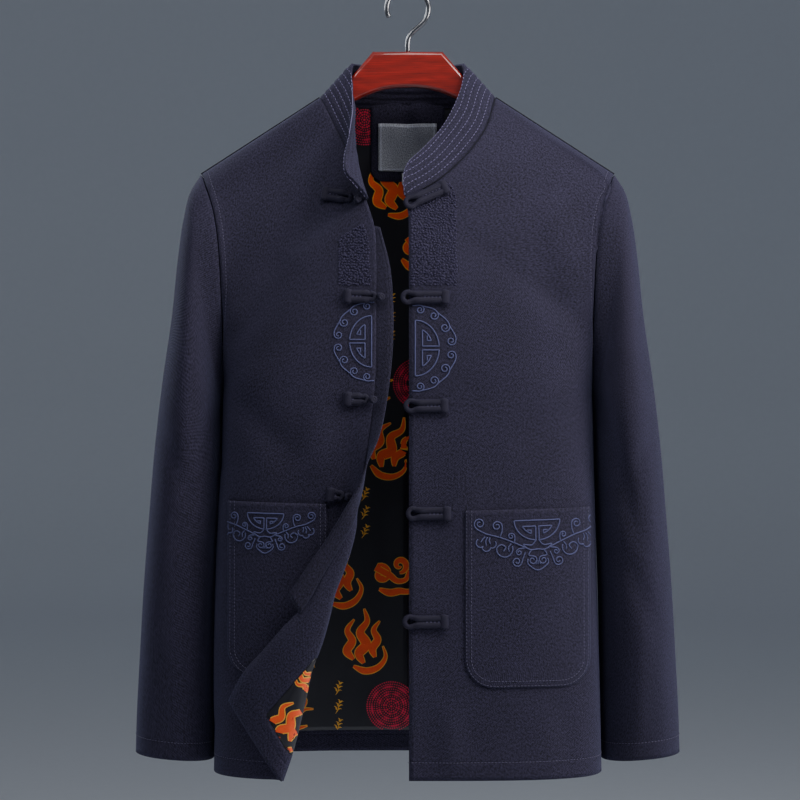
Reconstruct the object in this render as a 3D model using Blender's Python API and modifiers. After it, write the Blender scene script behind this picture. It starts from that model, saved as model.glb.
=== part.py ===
"""A Tang jacket hanging open on a wooden hanger.

The frame: +X is the jacket's own left side, -Y is its front, +Z is up. The origin is the inside top of
the hanger's hook, where a rail carries it. Tables are in millimetres and each row is one section.
"""

import math

import bmesh
import bpy
import numpy as np
from mathutils import Matrix, Vector
from mathutils.bvhtree import BVHTree

MM = 0.001

# Cloth
WALL = 1.8            # outer cloth with its interlining
FACING = 1.0          # turned-in cloth inside an edge
LINING = 0.8          # satin lining
PATCH = 1.3           # a patch pocket's cloth
COLLAR = 3.0          # quilted stand collar
GAP = 0.35            # between layers
SEAM = 0.45           # from a seam's line to each piece's edge
HIDDEN_IN = 1.2       # from the outer cloth's edge to an inner layer's
COLLAR_LIFT = 1.2     # from the neck's seam to the collar's edge
HEM = -841.0          # height of the hem
HEM_TURN = 28.0       # cloth turned up inside the hem

# Grids
FRONT_ACROSS = 13     # spans across a front
BACK_ACROSS = 12      # spans across half the back
COLLAR_UP = 4         # spans up the collar
BEND_WEIGHT = 60.0    # length that a turn of one radian counts for when points are spaced
ROLL_SPANS = 4        # spans round the turned-back front's roll
LINED_SPANS = 2       # spans over the lining on it
FACED_SPANS = 3       # spans over the facing on it
FACED_WIDTH = 45.0    # width of the facing

# The left front, neck to hem. Each row runs from the neckline or front edge to the armhole or side seam.
# start x, y, z, side x, y, z, squareness, spans to the next row
LEFT_FRONT = [
    (95.5, -0.8, -117.0, 224.0, -0.8, -200.0, 1.4, 1),
    (94.5, -7.5, -118.8, 222.3, -7.5, -202.0, 1.4, 1),
    (91.5, -17.5, -129.0, 217.0, -26.0, -214.0, 1.6, 1),
    (84.0, -34.0, -152.0, 208.0, -42.0, -238.0, 1.8, 1),
    (70.0, -50.0, -174.0, 202.0, -53.0, -268.0, 2.0, 1),
    (52.0, -63.0, -195.0, 199.0, -58.0, -300.0, 2.2, 1),
    (30.0, -74.0, -214.0, 197.5, -57.0, -335.0, 2.4, 1),
    (11.0, -80.0, -226.0, 197.0, -54.0, -355.0, 2.6, 1),
    (1.0, -83.0, -234.0, 197.0, -50.0, -375.0, 2.8, 2),
    (1.0, -93.0, -280.0, 197.0, -36.0, -408.0, 3.0, 1),
    (1.0, -100.0, -340.0, 198.0, -16.0, -435.0, 3.3, 1),
    (1.0, -104.0, -400.0, 198.5, -SEAM, -447.0, 3.6, 2),
    (1.0, -106.0, -500.0, 200.5, -SEAM, -530.0, 3.6, 2),
    (1.0, -107.0, -600.0, 203.0, -SEAM, -620.0, 3.6, 2),
    (1.0, -108.0, -720.0, 206.0, -SEAM, -730.0, 3.6, 2),
    (1.0, -108.0, HEM, 208.5, -SEAM, HEM, 3.6, 1),
]
# The right front as far as its roll, on the +X side until it is mirrored. Its lower corner is turned back.
# start x, y, z, side x, y, z, squareness, turn in degrees, edge x, y, z
RIGHT_FRONT = [
    (95.5, -0.8, -117.0, 224.0, -0.8, -200.0, 1.4),
    (94.5, -7.5, -118.8, 222.3, -7.5, -202.0, 1.4),
    (89.0, -15.0, -129.0, 217.0, -26.0, -214.0, 1.6),
    (79.0, -22.0, -150.0, 208.0, -42.0, -238.0, 1.8),
    (66.5, -40.0, -175.0, 202.0, -53.0, -268.0, 2.0),
    (59.0, -53.0, -193.0, 199.0, -58.0, -300.0, 2.2),
    (52.7, -65.0, -210.0, 197.5, -57.0, -335.0, 2.4),
    (47.8, -74.0, -224.0, 197.0, -54.0, -355.0, 2.6),
    (44.0, -82.0, -235.0, 197.0, -50.0, -375.0, 2.8),
    (35.5, -90.0, -262.0, 197.0, -40.0, -398.0, 2.9),
    (33.3, -97.0, -299.0, 197.3, -26.0, -424.0, 3.1),
    (33.3, -101.0, -341.0, 198.0, -12.0, -440.0, 3.3),
    (33.3, -104.0, -383.0, 198.5, -SEAM, -447.0, 3.6),
    (34.3, -105.0, -426.0, 199.2, -SEAM, -478.0, 3.6),
]
# start x, y, z, side x, z, turn, edge x, y, z
TURNED_FRONT = [
    (66.0, -105.4, -487.0, 200.1, -523.0, 15.0, 41.6, -110.0, -487.0),
    (65.6, -105.8, -517.0, 200.8, -546.0, 35.0, 45.7, -114.0, -516.5),
    (68.0, -106.1, -545.0, 201.5, -568.0, 60.0, 51.5, -118.5, -544.0),
    (63.5, -106.4, -570.0, 202.0, -588.0, 125.0, 58.8, -123.0, -566.0),
    (67.0, -106.5, -598.0, 202.7, -611.0, 165.0, 71.0, -121.0, -591.0),
    (75.0, -106.4, -623.0, 203.3, -634.0, 180.0, 80.0, -119.8, -608.0),
    (84.0, -106.1, -646.0, 203.9, -655.0, 180.0, 91.0, -119.8, -626.0),
    (91.5, -105.9, -671.0, 204.5, -678.0, 180.0, 101.5, -119.7, -645.0),
    (99.5, -105.5, -697.0, 205.2, -702.0, 180.0, 113.5, -119.2, -663.0),
    (110.0, -104.8, -721.0, 205.9, -725.0, 180.0, 129.5, -116.5, -680.0),
    (121.0, -103.4, -760.0, 206.8, -761.0, 180.0, 149.0, -111.3, -703.0),
    (134.5, -101.2, HEM + HEM_TURN, 207.9, HEM + HEM_TURN, 180.0, 175.0, -100.2, -737.0),
    (142.0, -99.7, HEM, 208.5, HEM, 180.0, 188.0, -91.8, -759.0),
]
ROLL_LENGTH = (15.0, 20.3)      # round the roll where its turn is 0 and where it is 180 degrees
EDGE_STRIP = 30.0     # how far inside the edge the roll's spans start where it isn't turned
LINED_FROM, LINED_TO = 8, 11    # rows of TURNED_FRONT between which the lining shows
# The underlap's outer edge, for the rows of the right front from the neck down, x, y, z
UNDERLAP = [
    (29.5, -90.2, -264.0), (19.0, -97.0, -304.0), (15.6, -101.0, -341.0),
    (15.6, -104.5, -383.0), (19.5, -107.5, -426.0), (32.0, -120.0, -486.0), (43.5, -132.5, -511.0),
    (56.0, -136.0, -532.0), (70.5, -133.0, -553.0), (84.0, -128.0, -577.0), (94.5, -125.0, -595.0),
    (105.5, -124.0, -612.0), (116.0, -123.0, -630.0), (124.5, -121.5, -646.0),
]
UNDERLAP_CLEAR = 0.7  # from the front's edge
UNDERLAP_FROM = 9     # the first of those rows
# Half of the back, as the left front. The start is the neckline and then the middle line.
BACK = [
    (95.5, 0.8, -117.0, 224.0, 0.8, -200.0, 1.4, 1),
    (94.5, 8.0, -118.4, 222.3, 8.0, -202.0, 1.4, 1),
    (90.0, 24.0, -119.5, 217.0, 31.0, -214.0, 1.6, 1),
    (72.0, 45.0, -120.0, 209.0, 50.0, -245.0, 1.8, 1),
    (40.0, 58.5, -121.0, 203.5, 60.0, -285.0, 2.0, 1),
    (0.0, 62.5, -122.0, 200.5, 62.0, -325.0, 2.3, 1),
    (0.0, 74.0, -162.0, 198.8, 55.0, -368.0, 2.6, 1),
    (0.0, 85.0, -217.0, 198.0, 40.0, -405.0, 3.0, 1),
    (0.0, 93.0, -285.0, 198.2, 18.0, -435.0, 3.3, 1),
    (0.0, 98.0, -360.0, 198.5, SEAM, -447.0, 3.6, 1),
    (0.0, 101.0, -450.0, 200.0, SEAM, -505.0, 3.6, 2),
    (0.0, 103.0, -550.0, 202.0, SEAM, -585.0, 3.6, 1),
    (0.0, 105.0, -650.0, 204.5, SEAM, -670.0, 3.6, 2),
    (0.0, 106.0, HEM + HEM_TURN, 207.9, SEAM, HEM + HEM_TURN, 3.6, 1),
    (0.0, 106.0, HEM, 208.5, SEAM, HEM, 3.6, 1),
]
BACK_NECK_ROWS = 6    # rows of the back that start on the neckline
LINED_BACK_FROM = 2   # the row under which the back is lined
# The collar's top edge over each row of the neckline, x, y, z, and how far the middle bows to +X
COLLAR_BACK = [
    (61.0, 8.0, -78.0, 0.0), (57.5, 16.0, -77.5, 0.0), (47.0, 29.0, -77.0, 0.0),
    (28.0, 39.0, -77.0, 0.0), (0.0, 42.5, -77.0, 0.0),
]
COLLAR_LEFT = [
    (61.8, -2.5, -80.0, 1.0), (61.2, -8.5, -88.0, 1.0), (58.5, -16.5, -105.0, 1.0),
    (50.7, -28.0, -127.0, 1.0), (37.0, -42.0, -153.0, 1.0), (15.0, -59.0, -179.0, 1.0),
    (-1.0, -71.0, -196.0, 1.0), (-5.0, -80.0, -212.0, 0.0), (-3.6, -82.5, -228.0, 0.0),
]
COLLAR_RIGHT = [
    (-61.8, -2.5, -80.0, 0.0), (-61.5, -8.5, -88.0, 0.0), (-60.5, -16.0, -104.0, 1.0),
    (-59.2, -27.0, -126.0, 3.0), (-60.0, -60.0, -150.0, 6.0), (-63.5, -84.0, -174.0, 8.0),
    (-67.0, -97.0, -194.0, 8.0), (-66.0, -103.0, -208.0, 6.0), (-54.5, -98.0, -222.0, 2.0),
]
# A sleeve: outer x, z, inner x, z, half its depth, spans to the next row
SLEEVE = [
    (233.5, -216.0, 199.6, -453.0, 64.0, 1),
    (241.5, -245.0, 200.3, -459.0, 70.0, 1),
    (248.0, -290.0, 200.7, -465.0, 76.0, 1),
    (254.0, -350.0, 201.0, -474.0, 81.0, 1),
    (264.0, -420.0, 201.6, -488.0, 83.0, 1),
    (273.0, -495.0, 202.4, -522.0, 80.0, 1),
    (279.0, -565.0, 204.4, -577.0, 75.0, 1),
    (285.0, -640.0, 206.6, -647.0, 69.0, 2),
    (293.5, -790.0, 209.4, -796.0, 52.0, 1),
    (294.5, -824.5, 210.0, -832.0, 49.0, 1),
]
SLEEVE_START = 1.4    # from the armhole's edge to the sleeve's
SLEEVE_SQUARE = 0.9   # power that makes a ring a little squarer than an ellipse
EVEN_RINGS = 4        # rings over which the armhole's spacing evens out
UNDERARM = -447.0

# Patch pockets: near and far side x, top z at each, bottom z
POCKET_LEFT = (59.0, 192.0, -560.0, -557.5, -744.5)
POCKET_RIGHT = (84.0, 189.0, -553.0, -551.0, -735.0)
POCKET_CORNER = 30.0
POCKET_CLEAR = 0.9    # from the front to the pocket's back, where both are faceted
ROLL_CLEAR = 2.0      # from the right pocket's edge to the front's roll
NECK_CLEAR = 2.4      # from the lining to the facing laid on it
PATCH_CLEAR = 1.0     # from one flat piece in the neck to the next
PATCH_STEP = 0.5      # least distance between a patch's columns
# Frog fasteners, neck to hem: the loop's tip or the knot's middle x, z, and the cord's tail x, z
FROG_LOOPS = [
    (-2.0, -240.0, 37.5, -222.0), (-5.4, -338.0, 38.5, -338.0), (-2.2, -451.0, 37.5, -451.0),
    (0.2, -563.0, 40.5, -563.0), (-3.4, -675.4, 37.5, -675.4),
]
# The knots' last column is how far each is from its panel: two are beside an edge or the front's roll
FROG_KNOTS = [
    (-51.4, -236.0, -86.0, -228.0, 0.4), (-28.1, -338.0, -62.3, -337.0, 0.4),
    (-36.0, -445.0, -62.3, -444.0, 1.3), (-56.0, -545.5, -80.5, -543.5, 1.3),
    (-98.0, -640.0, -98.0, -661.0, 0.4),
]
FROG_CORD = 3.0       # radius of a frog's cord
CORD_CLEAR = 0.8      # from a panel to what is fastened on it
LOOP_SHARE = 0.75     # how thin the cord is round a loop
LOOP_ANGLES = (125.0, 80.0, 40.0)
FROG_SPREAD = 3.6     # from a frog's middle to each cord's
LOOP_RADIUS = 5.4     # middle of the cord round a loop
KNOT_RADIUS = 4.8
KNOT_CLEAR = 0.4      # from the cord's bend to the knot
TAB_LENGTH, TAB_HEIGHT, TAB_THICK = 6.0, 15.6, 3.4
# Inside the back's neck
NECK_FACING = (41.0, -125.5, -201.0, 12.0)       # half width, top z, bottom z, corner
LABEL = (32.0, -141.0, -195.0, 2.0)
SIZE_TAB = (6.0, -196.0, -205.0, 1.5)
# The hanger: its outline's half, top from the middle outwards and then back underneath, x, z
HANGER = [
    (0.0, -67.4), (38.0, -67.4), (60.0, -93.5), (80.0, -115.0), (97.0, -121.9), (202.0, -189.7),
    (207.5, -196.0), (208.0, -203.0), (202.0, -209.0), (190.0, -208.0), (140.0, -176.0),
    (98.0, -149.0), (56.0, -120.0), (30.0, -109.5), (0.0, -106.0),
]
HANGER_THICK = 13.0
HANGER_EDGE = 4.5
WIRE = 2.6            # radius of the hook's wire
HOOK_RADIUS = 22.6    # middle of the wire round the hook
HOOK_FROM, HOOK_TO = -48.0, 205.0          # degrees round the hook
STEM_TOP = -52.0

NAVY = (0.030, 0.026, 0.056)
DARK_NAVY = (0.018, 0.016, 0.036)
SATIN = (0.006, 0.006, 0.008)
CHARCOAL = (0.060, 0.062, 0.068)
LACQUER = (0.300, 0.028, 0.012)
CHROME = (0.750, 0.750, 0.760)


def clear_scene():
    for obj in list(bpy.data.objects):
        bpy.data.objects.remove(obj, do_unlink=True)


def material(name, colour, roughness, metallic=0.0):
    """The named material, made once."""
    found = bpy.data.materials.get(name)
    if found:
        return found
    made = bpy.data.materials.new(name)
    made.use_nodes = True
    shader = made.node_tree.nodes["Principled BSDF"]
    shader.inputs["Base Color"].default_value = (*colour, 1.0)
    shader.inputs["Roughness"].default_value = roughness
    shader.inputs["Metallic"].default_value = metallic
    return made


def navy():
    return material("navy_wool", NAVY, 0.9)


def satin():
    return material("black_satin", SATIN, 0.35)


def add(name, data, finish, group):
    obj = bpy.data.objects.new(name, data)
    obj.data.materials.append(finish)
    group.objects.link(obj)
    return obj


# Curves and grids, in millimetres

def with_spans(rows):
    """The table's rows with more worked out between them, on a smooth curve through them all. The last
    column of each row is the number of spans to the next."""
    rows = np.array(rows, float)
    values, spans = rows[:, :-1], rows[:, -1].astype(int)
    steps = np.sqrt(np.linalg.norm(np.diff(values, axis=0), axis=1))
    rise = np.diff(values, axis=0) / steps[:, None]
    slope = np.array([rise[0], *((rise[:-1] + rise[1:]) / 2), rise[-1]])
    slope[1:-1][rise[:-1] * rise[1:] <= 0] = 0.0
    made = []
    for i, step in enumerate(steps):
        for t in np.arange(spans[i]) / spans[i]:
            made.append(
                (2 * t**3 - 3 * t**2 + 1) * values[i] + (t**3 - 2 * t**2 + t) * step * slope[i]
                + (3 * t**2 - 2 * t**3) * values[i + 1] + (t**3 - t**2) * step * slope[i + 1]
            )
    return np.array([*made, values[-1]])


def spaced(points, spans):
    """Points along a line of points, closer together where it bends."""
    steps = np.diff(points, axis=0)
    lengths = np.linalg.norm(steps, axis=1)
    ahead = steps / lengths[:, None]
    bends = np.linalg.norm(np.diff(ahead, axis=0), axis=1)
    weights = lengths + BEND_WEIGHT * np.concatenate([bends, bends[-1:]])
    run = np.concatenate([[0.0], np.cumsum(weights)])
    wanted = np.linspace(0.0, run[-1], spans + 1)
    return np.stack([np.interp(wanted, run, points[:, i]) for i in range(3)], axis=1)


def section(start, side, square, spans):
    """A stretch of the superellipse round the body's middle line, from the start to the side."""
    reach = min(abs(start[0] / side[0]), 0.999)
    angle = np.linspace(math.asin(reach ** (square / 2)), math.pi / 2, 80)
    across = np.sin(angle) ** (2 / square)
    depth = np.cos(angle) ** (2 / square)
    depth = np.maximum(depth, 0.0) / depth[0]
    x = side[0] * across
    x[0] = start[0]
    y = side[1] + (start[1] - side[1]) * depth
    run = np.concatenate([[0.0], np.cumsum(np.hypot(np.diff(x), np.diff(y)))])
    z = start[2] + (side[2] - start[2]) * run / run[-1]
    return spaced(np.stack([x, y, z], axis=1), spans)


def grid_normals(grid):
    """Each point's direction away from the wall, and how much further the point moves than the wall does."""
    across = grid[:, 1:] - grid[:, :-1]
    down = grid[1:] - grid[:-1]
    flat = np.cross(down[:, :-1] + down[:, 1:], across[:-1] + across[1:])
    flat /= np.linalg.norm(flat, axis=2, keepdims=True)
    total = np.zeros_like(grid)
    for i in (0, 1):
        for j in (0, 1):
            total[i:i + flat.shape[0], j:j + flat.shape[1]] += flat
    normal = total / np.linalg.norm(total, axis=2, keepdims=True)
    stretch = np.zeros(grid.shape[:2])
    count = np.zeros(grid.shape[:2])
    for i in (0, 1):
        for j in (0, 1):
            part = (slice(i, i + flat.shape[0]), slice(j, j + flat.shape[1]))
            stretch[part] += (normal[part] * flat).sum(axis=2)
            count[part] += 1
    return normal, count / stretch


def moved(grid, distance):
    normal, stretch = grid_normals(grid)
    return grid + normal * (stretch * distance)[:, :, None]


def trimmed(grid, top=0.0, bottom=0.0, first=0.0, last=0.0):
    """The grid with its edges drawn in by so many millimetres."""
    grid = grid.copy()
    for lines, amount, edge, inner in (
        (grid, top, 0, 1), (grid, bottom, -1, -2),
        (grid.swapaxes(0, 1), first, 0, 1), (grid.swapaxes(0, 1), last, -1, -2),
    ):
        step = lines[inner] - lines[edge]
        lines[edge] += step * (amount / np.linalg.norm(step, axis=1, keepdims=True))
    return grid


def mirrored(grid):
    """The grid on the other side of the body, with its faces still outwards."""
    return (grid * np.array([-1.0, 1.0, 1.0]))[:, ::-1]


def surface(name, grid, cells=None, ring=False):
    """A mesh of the grid's cells, whose faces look along grid_normals."""
    rows, columns = grid.shape[:2]
    made = bmesh.new()
    points = {}

    def point(r, c):
        c = c % columns if ring else c
        if (r, c) not in points:
            points[r, c] = made.verts.new(grid[r, c] * MM)
        return points[r, c]

    for r in range(rows - 1):
        for c in range(columns if ring else columns - 1):
            if cells is None or cells[r, c]:
                made.faces.new((point(r, c), point(r + 1, c), point(r + 1, c + 1), point(r, c + 1)))
    mesh = bpy.data.meshes.new(name)
    made.to_mesh(mesh)
    made.free()
    mesh.shade_smooth()
    return mesh


def cloth(name, grid, thickness, finish, group, cells=None, ring=False, mirror=False):
    """A wall of cloth inside the grid. A mirrored one is half of a piece and is open on the middle line."""
    obj = add(name, surface(name, grid, cells, ring), finish, group)
    if mirror:
        half = obj.modifiers.new("Mirror", "MIRROR")
        half.merge_threshold = 0.0001
    wall = obj.modifiers.new("Wall", "SOLIDIFY")
    wall.thickness = thickness * MM
    wall.offset = -1.0
    wall.use_even_offset = True
    wall.use_quality_normals = True
    return obj


# The body

def front_grid(rows, spans):
    return np.array([section(r[0:3], r[3:6], r[6], spans) for r in rows])


def left_front_grid():
    return front_grid(with_spans(LEFT_FRONT), FRONT_ACROSS)


def turned_row(row):
    """One row of the right front from the side seam over the roll to the edge, on the +X side."""
    start, side = np.array(row[0:3]), np.array([row[3], -SEAM, row[4]])
    turn, edge = math.radians(row[5]), np.array(row[6:9])
    base = section(start, side, 3.6, FRONT_ACROSS)[::-1]
    ahead = base[-1] - base[-2]
    ahead /= np.linalg.norm(ahead)
    out = np.cross(ahead, (0.0, 0.0, 1.0))
    out *= -np.sign(out[1]) / np.linalg.norm(out)
    radius = (ROLL_LENGTH[0] + (ROLL_LENGTH[1] - ROLL_LENGTH[0]) * row[5] / 180.0) / turn
    roll = [
        start + radius * (math.sin(a) * ahead + (1 - math.cos(a)) * out)
        for a in turn * np.arange(1, ROLL_SPANS + 1) / ROLL_SPANS
    ]
    return np.array([*base, *roll, *flap_points(roll[-1], edge)])


def flap_points(start, edge):
    """The straight stretch past the roll: the lining's spans, and then the facing's."""
    length = np.linalg.norm(edge - start)
    lined = max(length - FACED_WIDTH, min(3.0, 0.3 * length))
    along = [
        *(lined * np.arange(1, LINED_SPANS + 1) / LINED_SPANS),
        *(lined + (length - lined) * np.arange(1, FACED_SPANS + 1) / FACED_SPANS),
    ]
    return [start + (edge - start) * (a / length) for a in along]


def plain_row(row):
    """A row that isn't turned, with the same spans as one that is."""
    start, side = np.array(row[0:3]), np.array(row[3:6])
    whole = section(start, side, row[6], 240)[::-1]
    run = np.concatenate([[0.0], np.cumsum(np.linalg.norm(np.diff(whole, axis=0), axis=1))])
    strip = ROLL_SPANS + LINED_SPANS + FACED_SPANS
    wanted = np.concatenate([
        np.linspace(0.0, run[-1] - EDGE_STRIP, FRONT_ACROSS + 1),
        run[-1] - EDGE_STRIP + EDGE_STRIP * np.arange(1, strip + 1) / strip,
    ])
    return np.stack([np.interp(wanted, run, whole[:, i]) for i in range(3)], axis=1)


def right_front_grid():
    """Side seam to edge, on the jacket's right."""
    rows = [plain_row(r) for r in RIGHT_FRONT] + [turned_row(r) for r in TURNED_FRONT]
    return np.array(rows) * np.array([-1.0, 1.0, 1.0])


def back_grid():
    """Side seam to the neckline and middle, so that its faces look back."""
    return front_grid(with_spans(BACK), BACK_ACROSS)[:, ::-1]


def build_right_front(grid, group):
    cloth("front_right", grid, WALL, navy(), group)
    inside = moved(grid, -(WALL + GAP))
    rows, columns = grid.shape[0] - 1, grid.shape[1] - 1
    first = len(RIGHT_FRONT)
    lined_from, lined_to = first + LINED_FROM, first + LINED_TO
    lined_start = FRONT_ACROSS - 1
    faced_start = columns - FACED_SPANS
    cells = np.zeros((rows, columns), bool)
    cells[first:, lined_start:] = True
    cells[lined_from:lined_to, lined_start:faced_start] = False
    faced = trimmed(inside, bottom=HIDDEN_IN, last=HIDDEN_IN)
    cloth("facing_right", faced, FACING, navy(), group, cells=cells)
    lined = inside[lined_from:lined_to + 1, lined_start:faced_start + 1]
    lined = trimmed(lined, top=GAP, bottom=GAP, last=GAP)
    cloth("lining_right", lined, LINING, satin(), group)


def build_underlap(grid, group):
    outer = np.array(UNDERLAP) * np.array([-1.0, 1.0, 1.0])
    inner = grid[UNDERLAP_FROM:UNDERLAP_FROM + len(outer), -1]
    across = np.linspace(0.0, 1.0, 4)[None, :, None]
    strip = inner[:, None] * (1 - across) + outer[:, None] * across
    cloth("underlap", trimmed(strip, first=UNDERLAP_CLEAR), WALL - 0.2, navy(), group)


def build_back(grid, group):
    """It returns the lining's outer side, which the pieces in the neck are laid out from."""
    cloth("back", grid, WALL, navy(), group, mirror=True)
    inside = moved(grid, -(WALL + GAP))
    lined = trimmed(inside[LINED_BACK_FROM:-1, 1:], first=2.0, bottom=1.0)
    cloth("lining_back", lined, LINING, satin(), group, mirror=True)
    return inside


def fractions(edge):
    """How far along a line each of its points is, from 0 to 1."""
    run = np.concatenate([[0.0], np.cumsum(np.linalg.norm(np.diff(edge, axis=0), axis=1))])
    return run / run[-1]


def ring_half(outer, inner, depth, shares):
    """Half of a sleeve's ring, from its outer point to its inner one, at these shares of its length."""
    middle = (np.array(outer) + np.array(inner)) / 2
    arm = np.array(outer) - middle
    angle = np.linspace(0.0, math.pi, 121)
    swing = np.sign(np.cos(angle)) * np.abs(np.cos(angle)) ** SLEEVE_SQUARE
    sway = np.abs(np.sin(angle)) ** SLEEVE_SQUARE
    line = np.stack([middle[0] + arm[0] * swing, depth * sway, middle[1] + arm[1] * swing], axis=1)
    at = fractions(line)
    return np.stack([np.interp(shares, at, line[:, i]) for i in range(3)], axis=1)


def sleeve_grid(front, back):
    """Rings from the armhole to the cuff: each runs down the front and up the back. front and back are
    the armhole's edges, from the shoulder to under the arm."""
    top, under = (front[0] + back[0]) / 2, (front[-1] + back[-1]) / 2
    armhole = np.array([top, *front[1:-1], under, *back[-2:0:-1]])
    rings = []
    for i, r in enumerate(with_spans(SLEEVE)):
        even = min((i + 1) / EVEN_RINGS, 1.0)
        halves = []
        for edge, depth in ((front, -r[4]), (back, r[4])):
            shares = fractions(edge) * (1 - even) + np.linspace(0.0, 1.0, len(edge)) * even
            halves.append(ring_half((r[0], r[1]), (r[2], r[3]), depth, shares))
        rings.append([*halves[0], *halves[1][-2:0:-1]])
    away = rings[0] - armhole
    away /= np.linalg.norm(away, axis=1, keepdims=True)
    return np.array([armhole + away * SLEEVE_START, *rings])


def armhole_edge(grid, column):
    """The stretch of a panel's side edge that lies on the armhole."""
    edge = grid[:, column]
    return edge[edge[:, 2] > UNDERARM - 1.0]


def build_sleeves(left, right, back, group):
    behind = armhole_edge(back, 0)
    flip = np.array([-1.0, 1.0, 1.0])
    grid = sleeve_grid(armhole_edge(left, -1), behind)
    cloth("sleeve_left", grid[:, ::-1], WALL, navy(), group, ring=True)
    grid = sleeve_grid(armhole_edge(right, 0) * flip, behind)
    cloth("sleeve_right", grid * flip, WALL, navy(), group, ring=True)


def build_collar(left, right, back, group):
    """One band from the right front's neck, round the back to the left front's."""
    tops = np.array([
        *COLLAR_RIGHT[::-1],
        *[(-x, y, z, -bow) for x, y, z, bow in COLLAR_BACK],
        *COLLAR_BACK[-2::-1],
        *COLLAR_LEFT,
    ])
    flip = np.array([-1.0, 1.0, 1.0])
    neck = back[:BACK_NECK_ROWS, -1]
    seam = np.concatenate([
        right[:len(COLLAR_RIGHT), -1][::-1], neck[1:] * flip, neck[-2:0:-1], left[:len(COLLAR_LEFT), 0],
    ])
    ribs = []
    for low, top in zip(seam, tops):
        middle = (low + top[:3]) / 2 + np.array([top[3], 0.0, 0.0])
        t = np.linspace(0.0, 1.0, COLLAR_UP + 1)[:, None]
        ribs.append((1 - t) ** 2 * low + 2 * t * (1 - t) * middle + t**2 * top[:3])
    grid = np.array(ribs).swapaxes(0, 1)[::-1, ::-1]
    cloth("collar", trimmed(grid, bottom=COLLAR_LIFT), COLLAR, navy(), group)


# What lies on the panels

class Panel:
    """A panel's outer surface, which pieces are laid on. towards is +1 on the front and -1 on the back."""

    def __init__(self, *grids, towards=1.0):
        points, faces = [], []
        for grid in grids:
            rows, columns = grid.shape[:2]
            first = len(points)
            points += [Vector(p) for p in grid.reshape(-1, 3)]
            faces += [
                tuple(first + i for i in (
                    r * columns + c, (r + 1) * columns + c, (r + 1) * columns + c + 1, r * columns + c + 1
                ))
                for r in range(rows - 1) for c in range(columns - 1)
            ]
        self.tree = BVHTree.FromPolygons(points, faces)
        self.towards = towards
        self.columns = [column for grid in grids for column in grid.swapaxes(0, 1)]

    def columns_between(self, first, last, z):
        """The panel's own columns between these two places at this height, in order."""
        reaching = [column for column in self.columns if column[-1, 2] < z]
        at = {round(np.interp(-z, -column[:, 2], column[:, 0])): column for column in reaching}
        return [at[x] for x in sorted(at) if first + 1 < x < last - 1]

    def touch(self, x, z):
        """The place on the panel and its outward direction, or None off its edge."""
        start = Vector((x, -400.0 * self.towards, z))
        hit, normal, _, _ = self.tree.ray_cast(start, Vector((0.0, self.towards, 0.0)))
        if hit is None:
            return None
        if normal.y * self.towards > 0:
            normal = -normal
        return np.array(hit), np.array(normal)

    def point(self, x, z, out, back_to=None):
        """The point so far outside the panel. Off its edge, the panel is felt for on the way back_to."""
        felt = np.array([x, z], float)
        found = self.touch(*felt)
        while found is None:
            step = np.array(back_to) - felt
            felt += step / np.linalg.norm(step)
            found = self.touch(*felt)
        place, normal = found
        return place + normal * out + np.array([x - felt[0], 0.0, z - felt[1]])


def patch(panel, near, far, near_top, far_top, bottom, corner, out, stop=None):
    """The grid of a patch with rounded lower corners, laid so far outside a panel. It goes no further
    across than the line stop, whose points are x, y, z from the bottom up."""
    height = near_top - bottom
    drops = corner * np.array([1.0, 0.6, 0.3, 0.1, 0.0])
    columns = panel.columns_between(near, far, (near_top + bottom) / 2)
    apart = PATCH_STEP * np.arange(len(columns) + 2)
    grid = []
    for up in [*(height * np.linspace(1.0, corner / height, 5)[:-1]), *drops]:
        short = max(corner - up, 0.0)
        inset = corner - math.sqrt(corner**2 - short**2)
        first, last = near + inset, far - inset
        if stop is not None:
            last = min(last, np.interp(bottom + up, stop[:, 2], stop[:, 0]))
        inner = [np.interp(-bottom - up, -column[:, 2], column[:, 0]) for column in columns]
        across = np.maximum([first, *inner, last], first + apart)
        line = []
        for x in np.minimum(across, last - apart[::-1]):
            lift = (far_top - near_top) * (x - near) / (far - near) * up / height
            line.append(panel.point(x, bottom + up + lift, out))
        grid.append(line)
    return np.array(grid)


def build_pockets(left, right, roll, group):
    """The right one ends beside the line where that front rolls over."""
    near, far, near_top, far_top, bottom = POCKET_LEFT
    grid = patch(left, near, far, near_top, far_top, bottom, POCKET_CORNER, POCKET_CLEAR + PATCH)
    cloth("pocket_left", grid, PATCH, navy(), group)
    near, far, near_top, far_top, bottom = POCKET_RIGHT
    stop = roll[::-1] - np.array([ROLL_CLEAR, 0.0, 0.0])
    grid = patch(
        right, -far, -near, far_top, near_top, bottom, POCKET_CORNER, POCKET_CLEAR + PATCH, stop
    )
    cloth("pocket_right", grid, PATCH, navy(), group)


def build_neck_pieces(lined, group):
    """The facing inside the back of the neck, the bare label sewn on it and the size tab under that."""
    layer = LINING + NECK_CLEAR
    for name, sizes, thickness, finish in (
        ("neck_facing", NECK_FACING, FACING, navy()),
        ("label", LABEL, LINING, material("label_cloth", CHARCOAL, 0.8)),
        ("size_tab", SIZE_TAB, LINING, satin()),
    ):
        half, top, bottom, corner = sizes
        grid = patch(lined, -half, half, top, top, bottom, corner, -layer)
        cloth(name, grid[:, ::-1], thickness, finish, group)
        if name == "neck_facing":
            layer += FACING + PATCH_CLEAR


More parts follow.
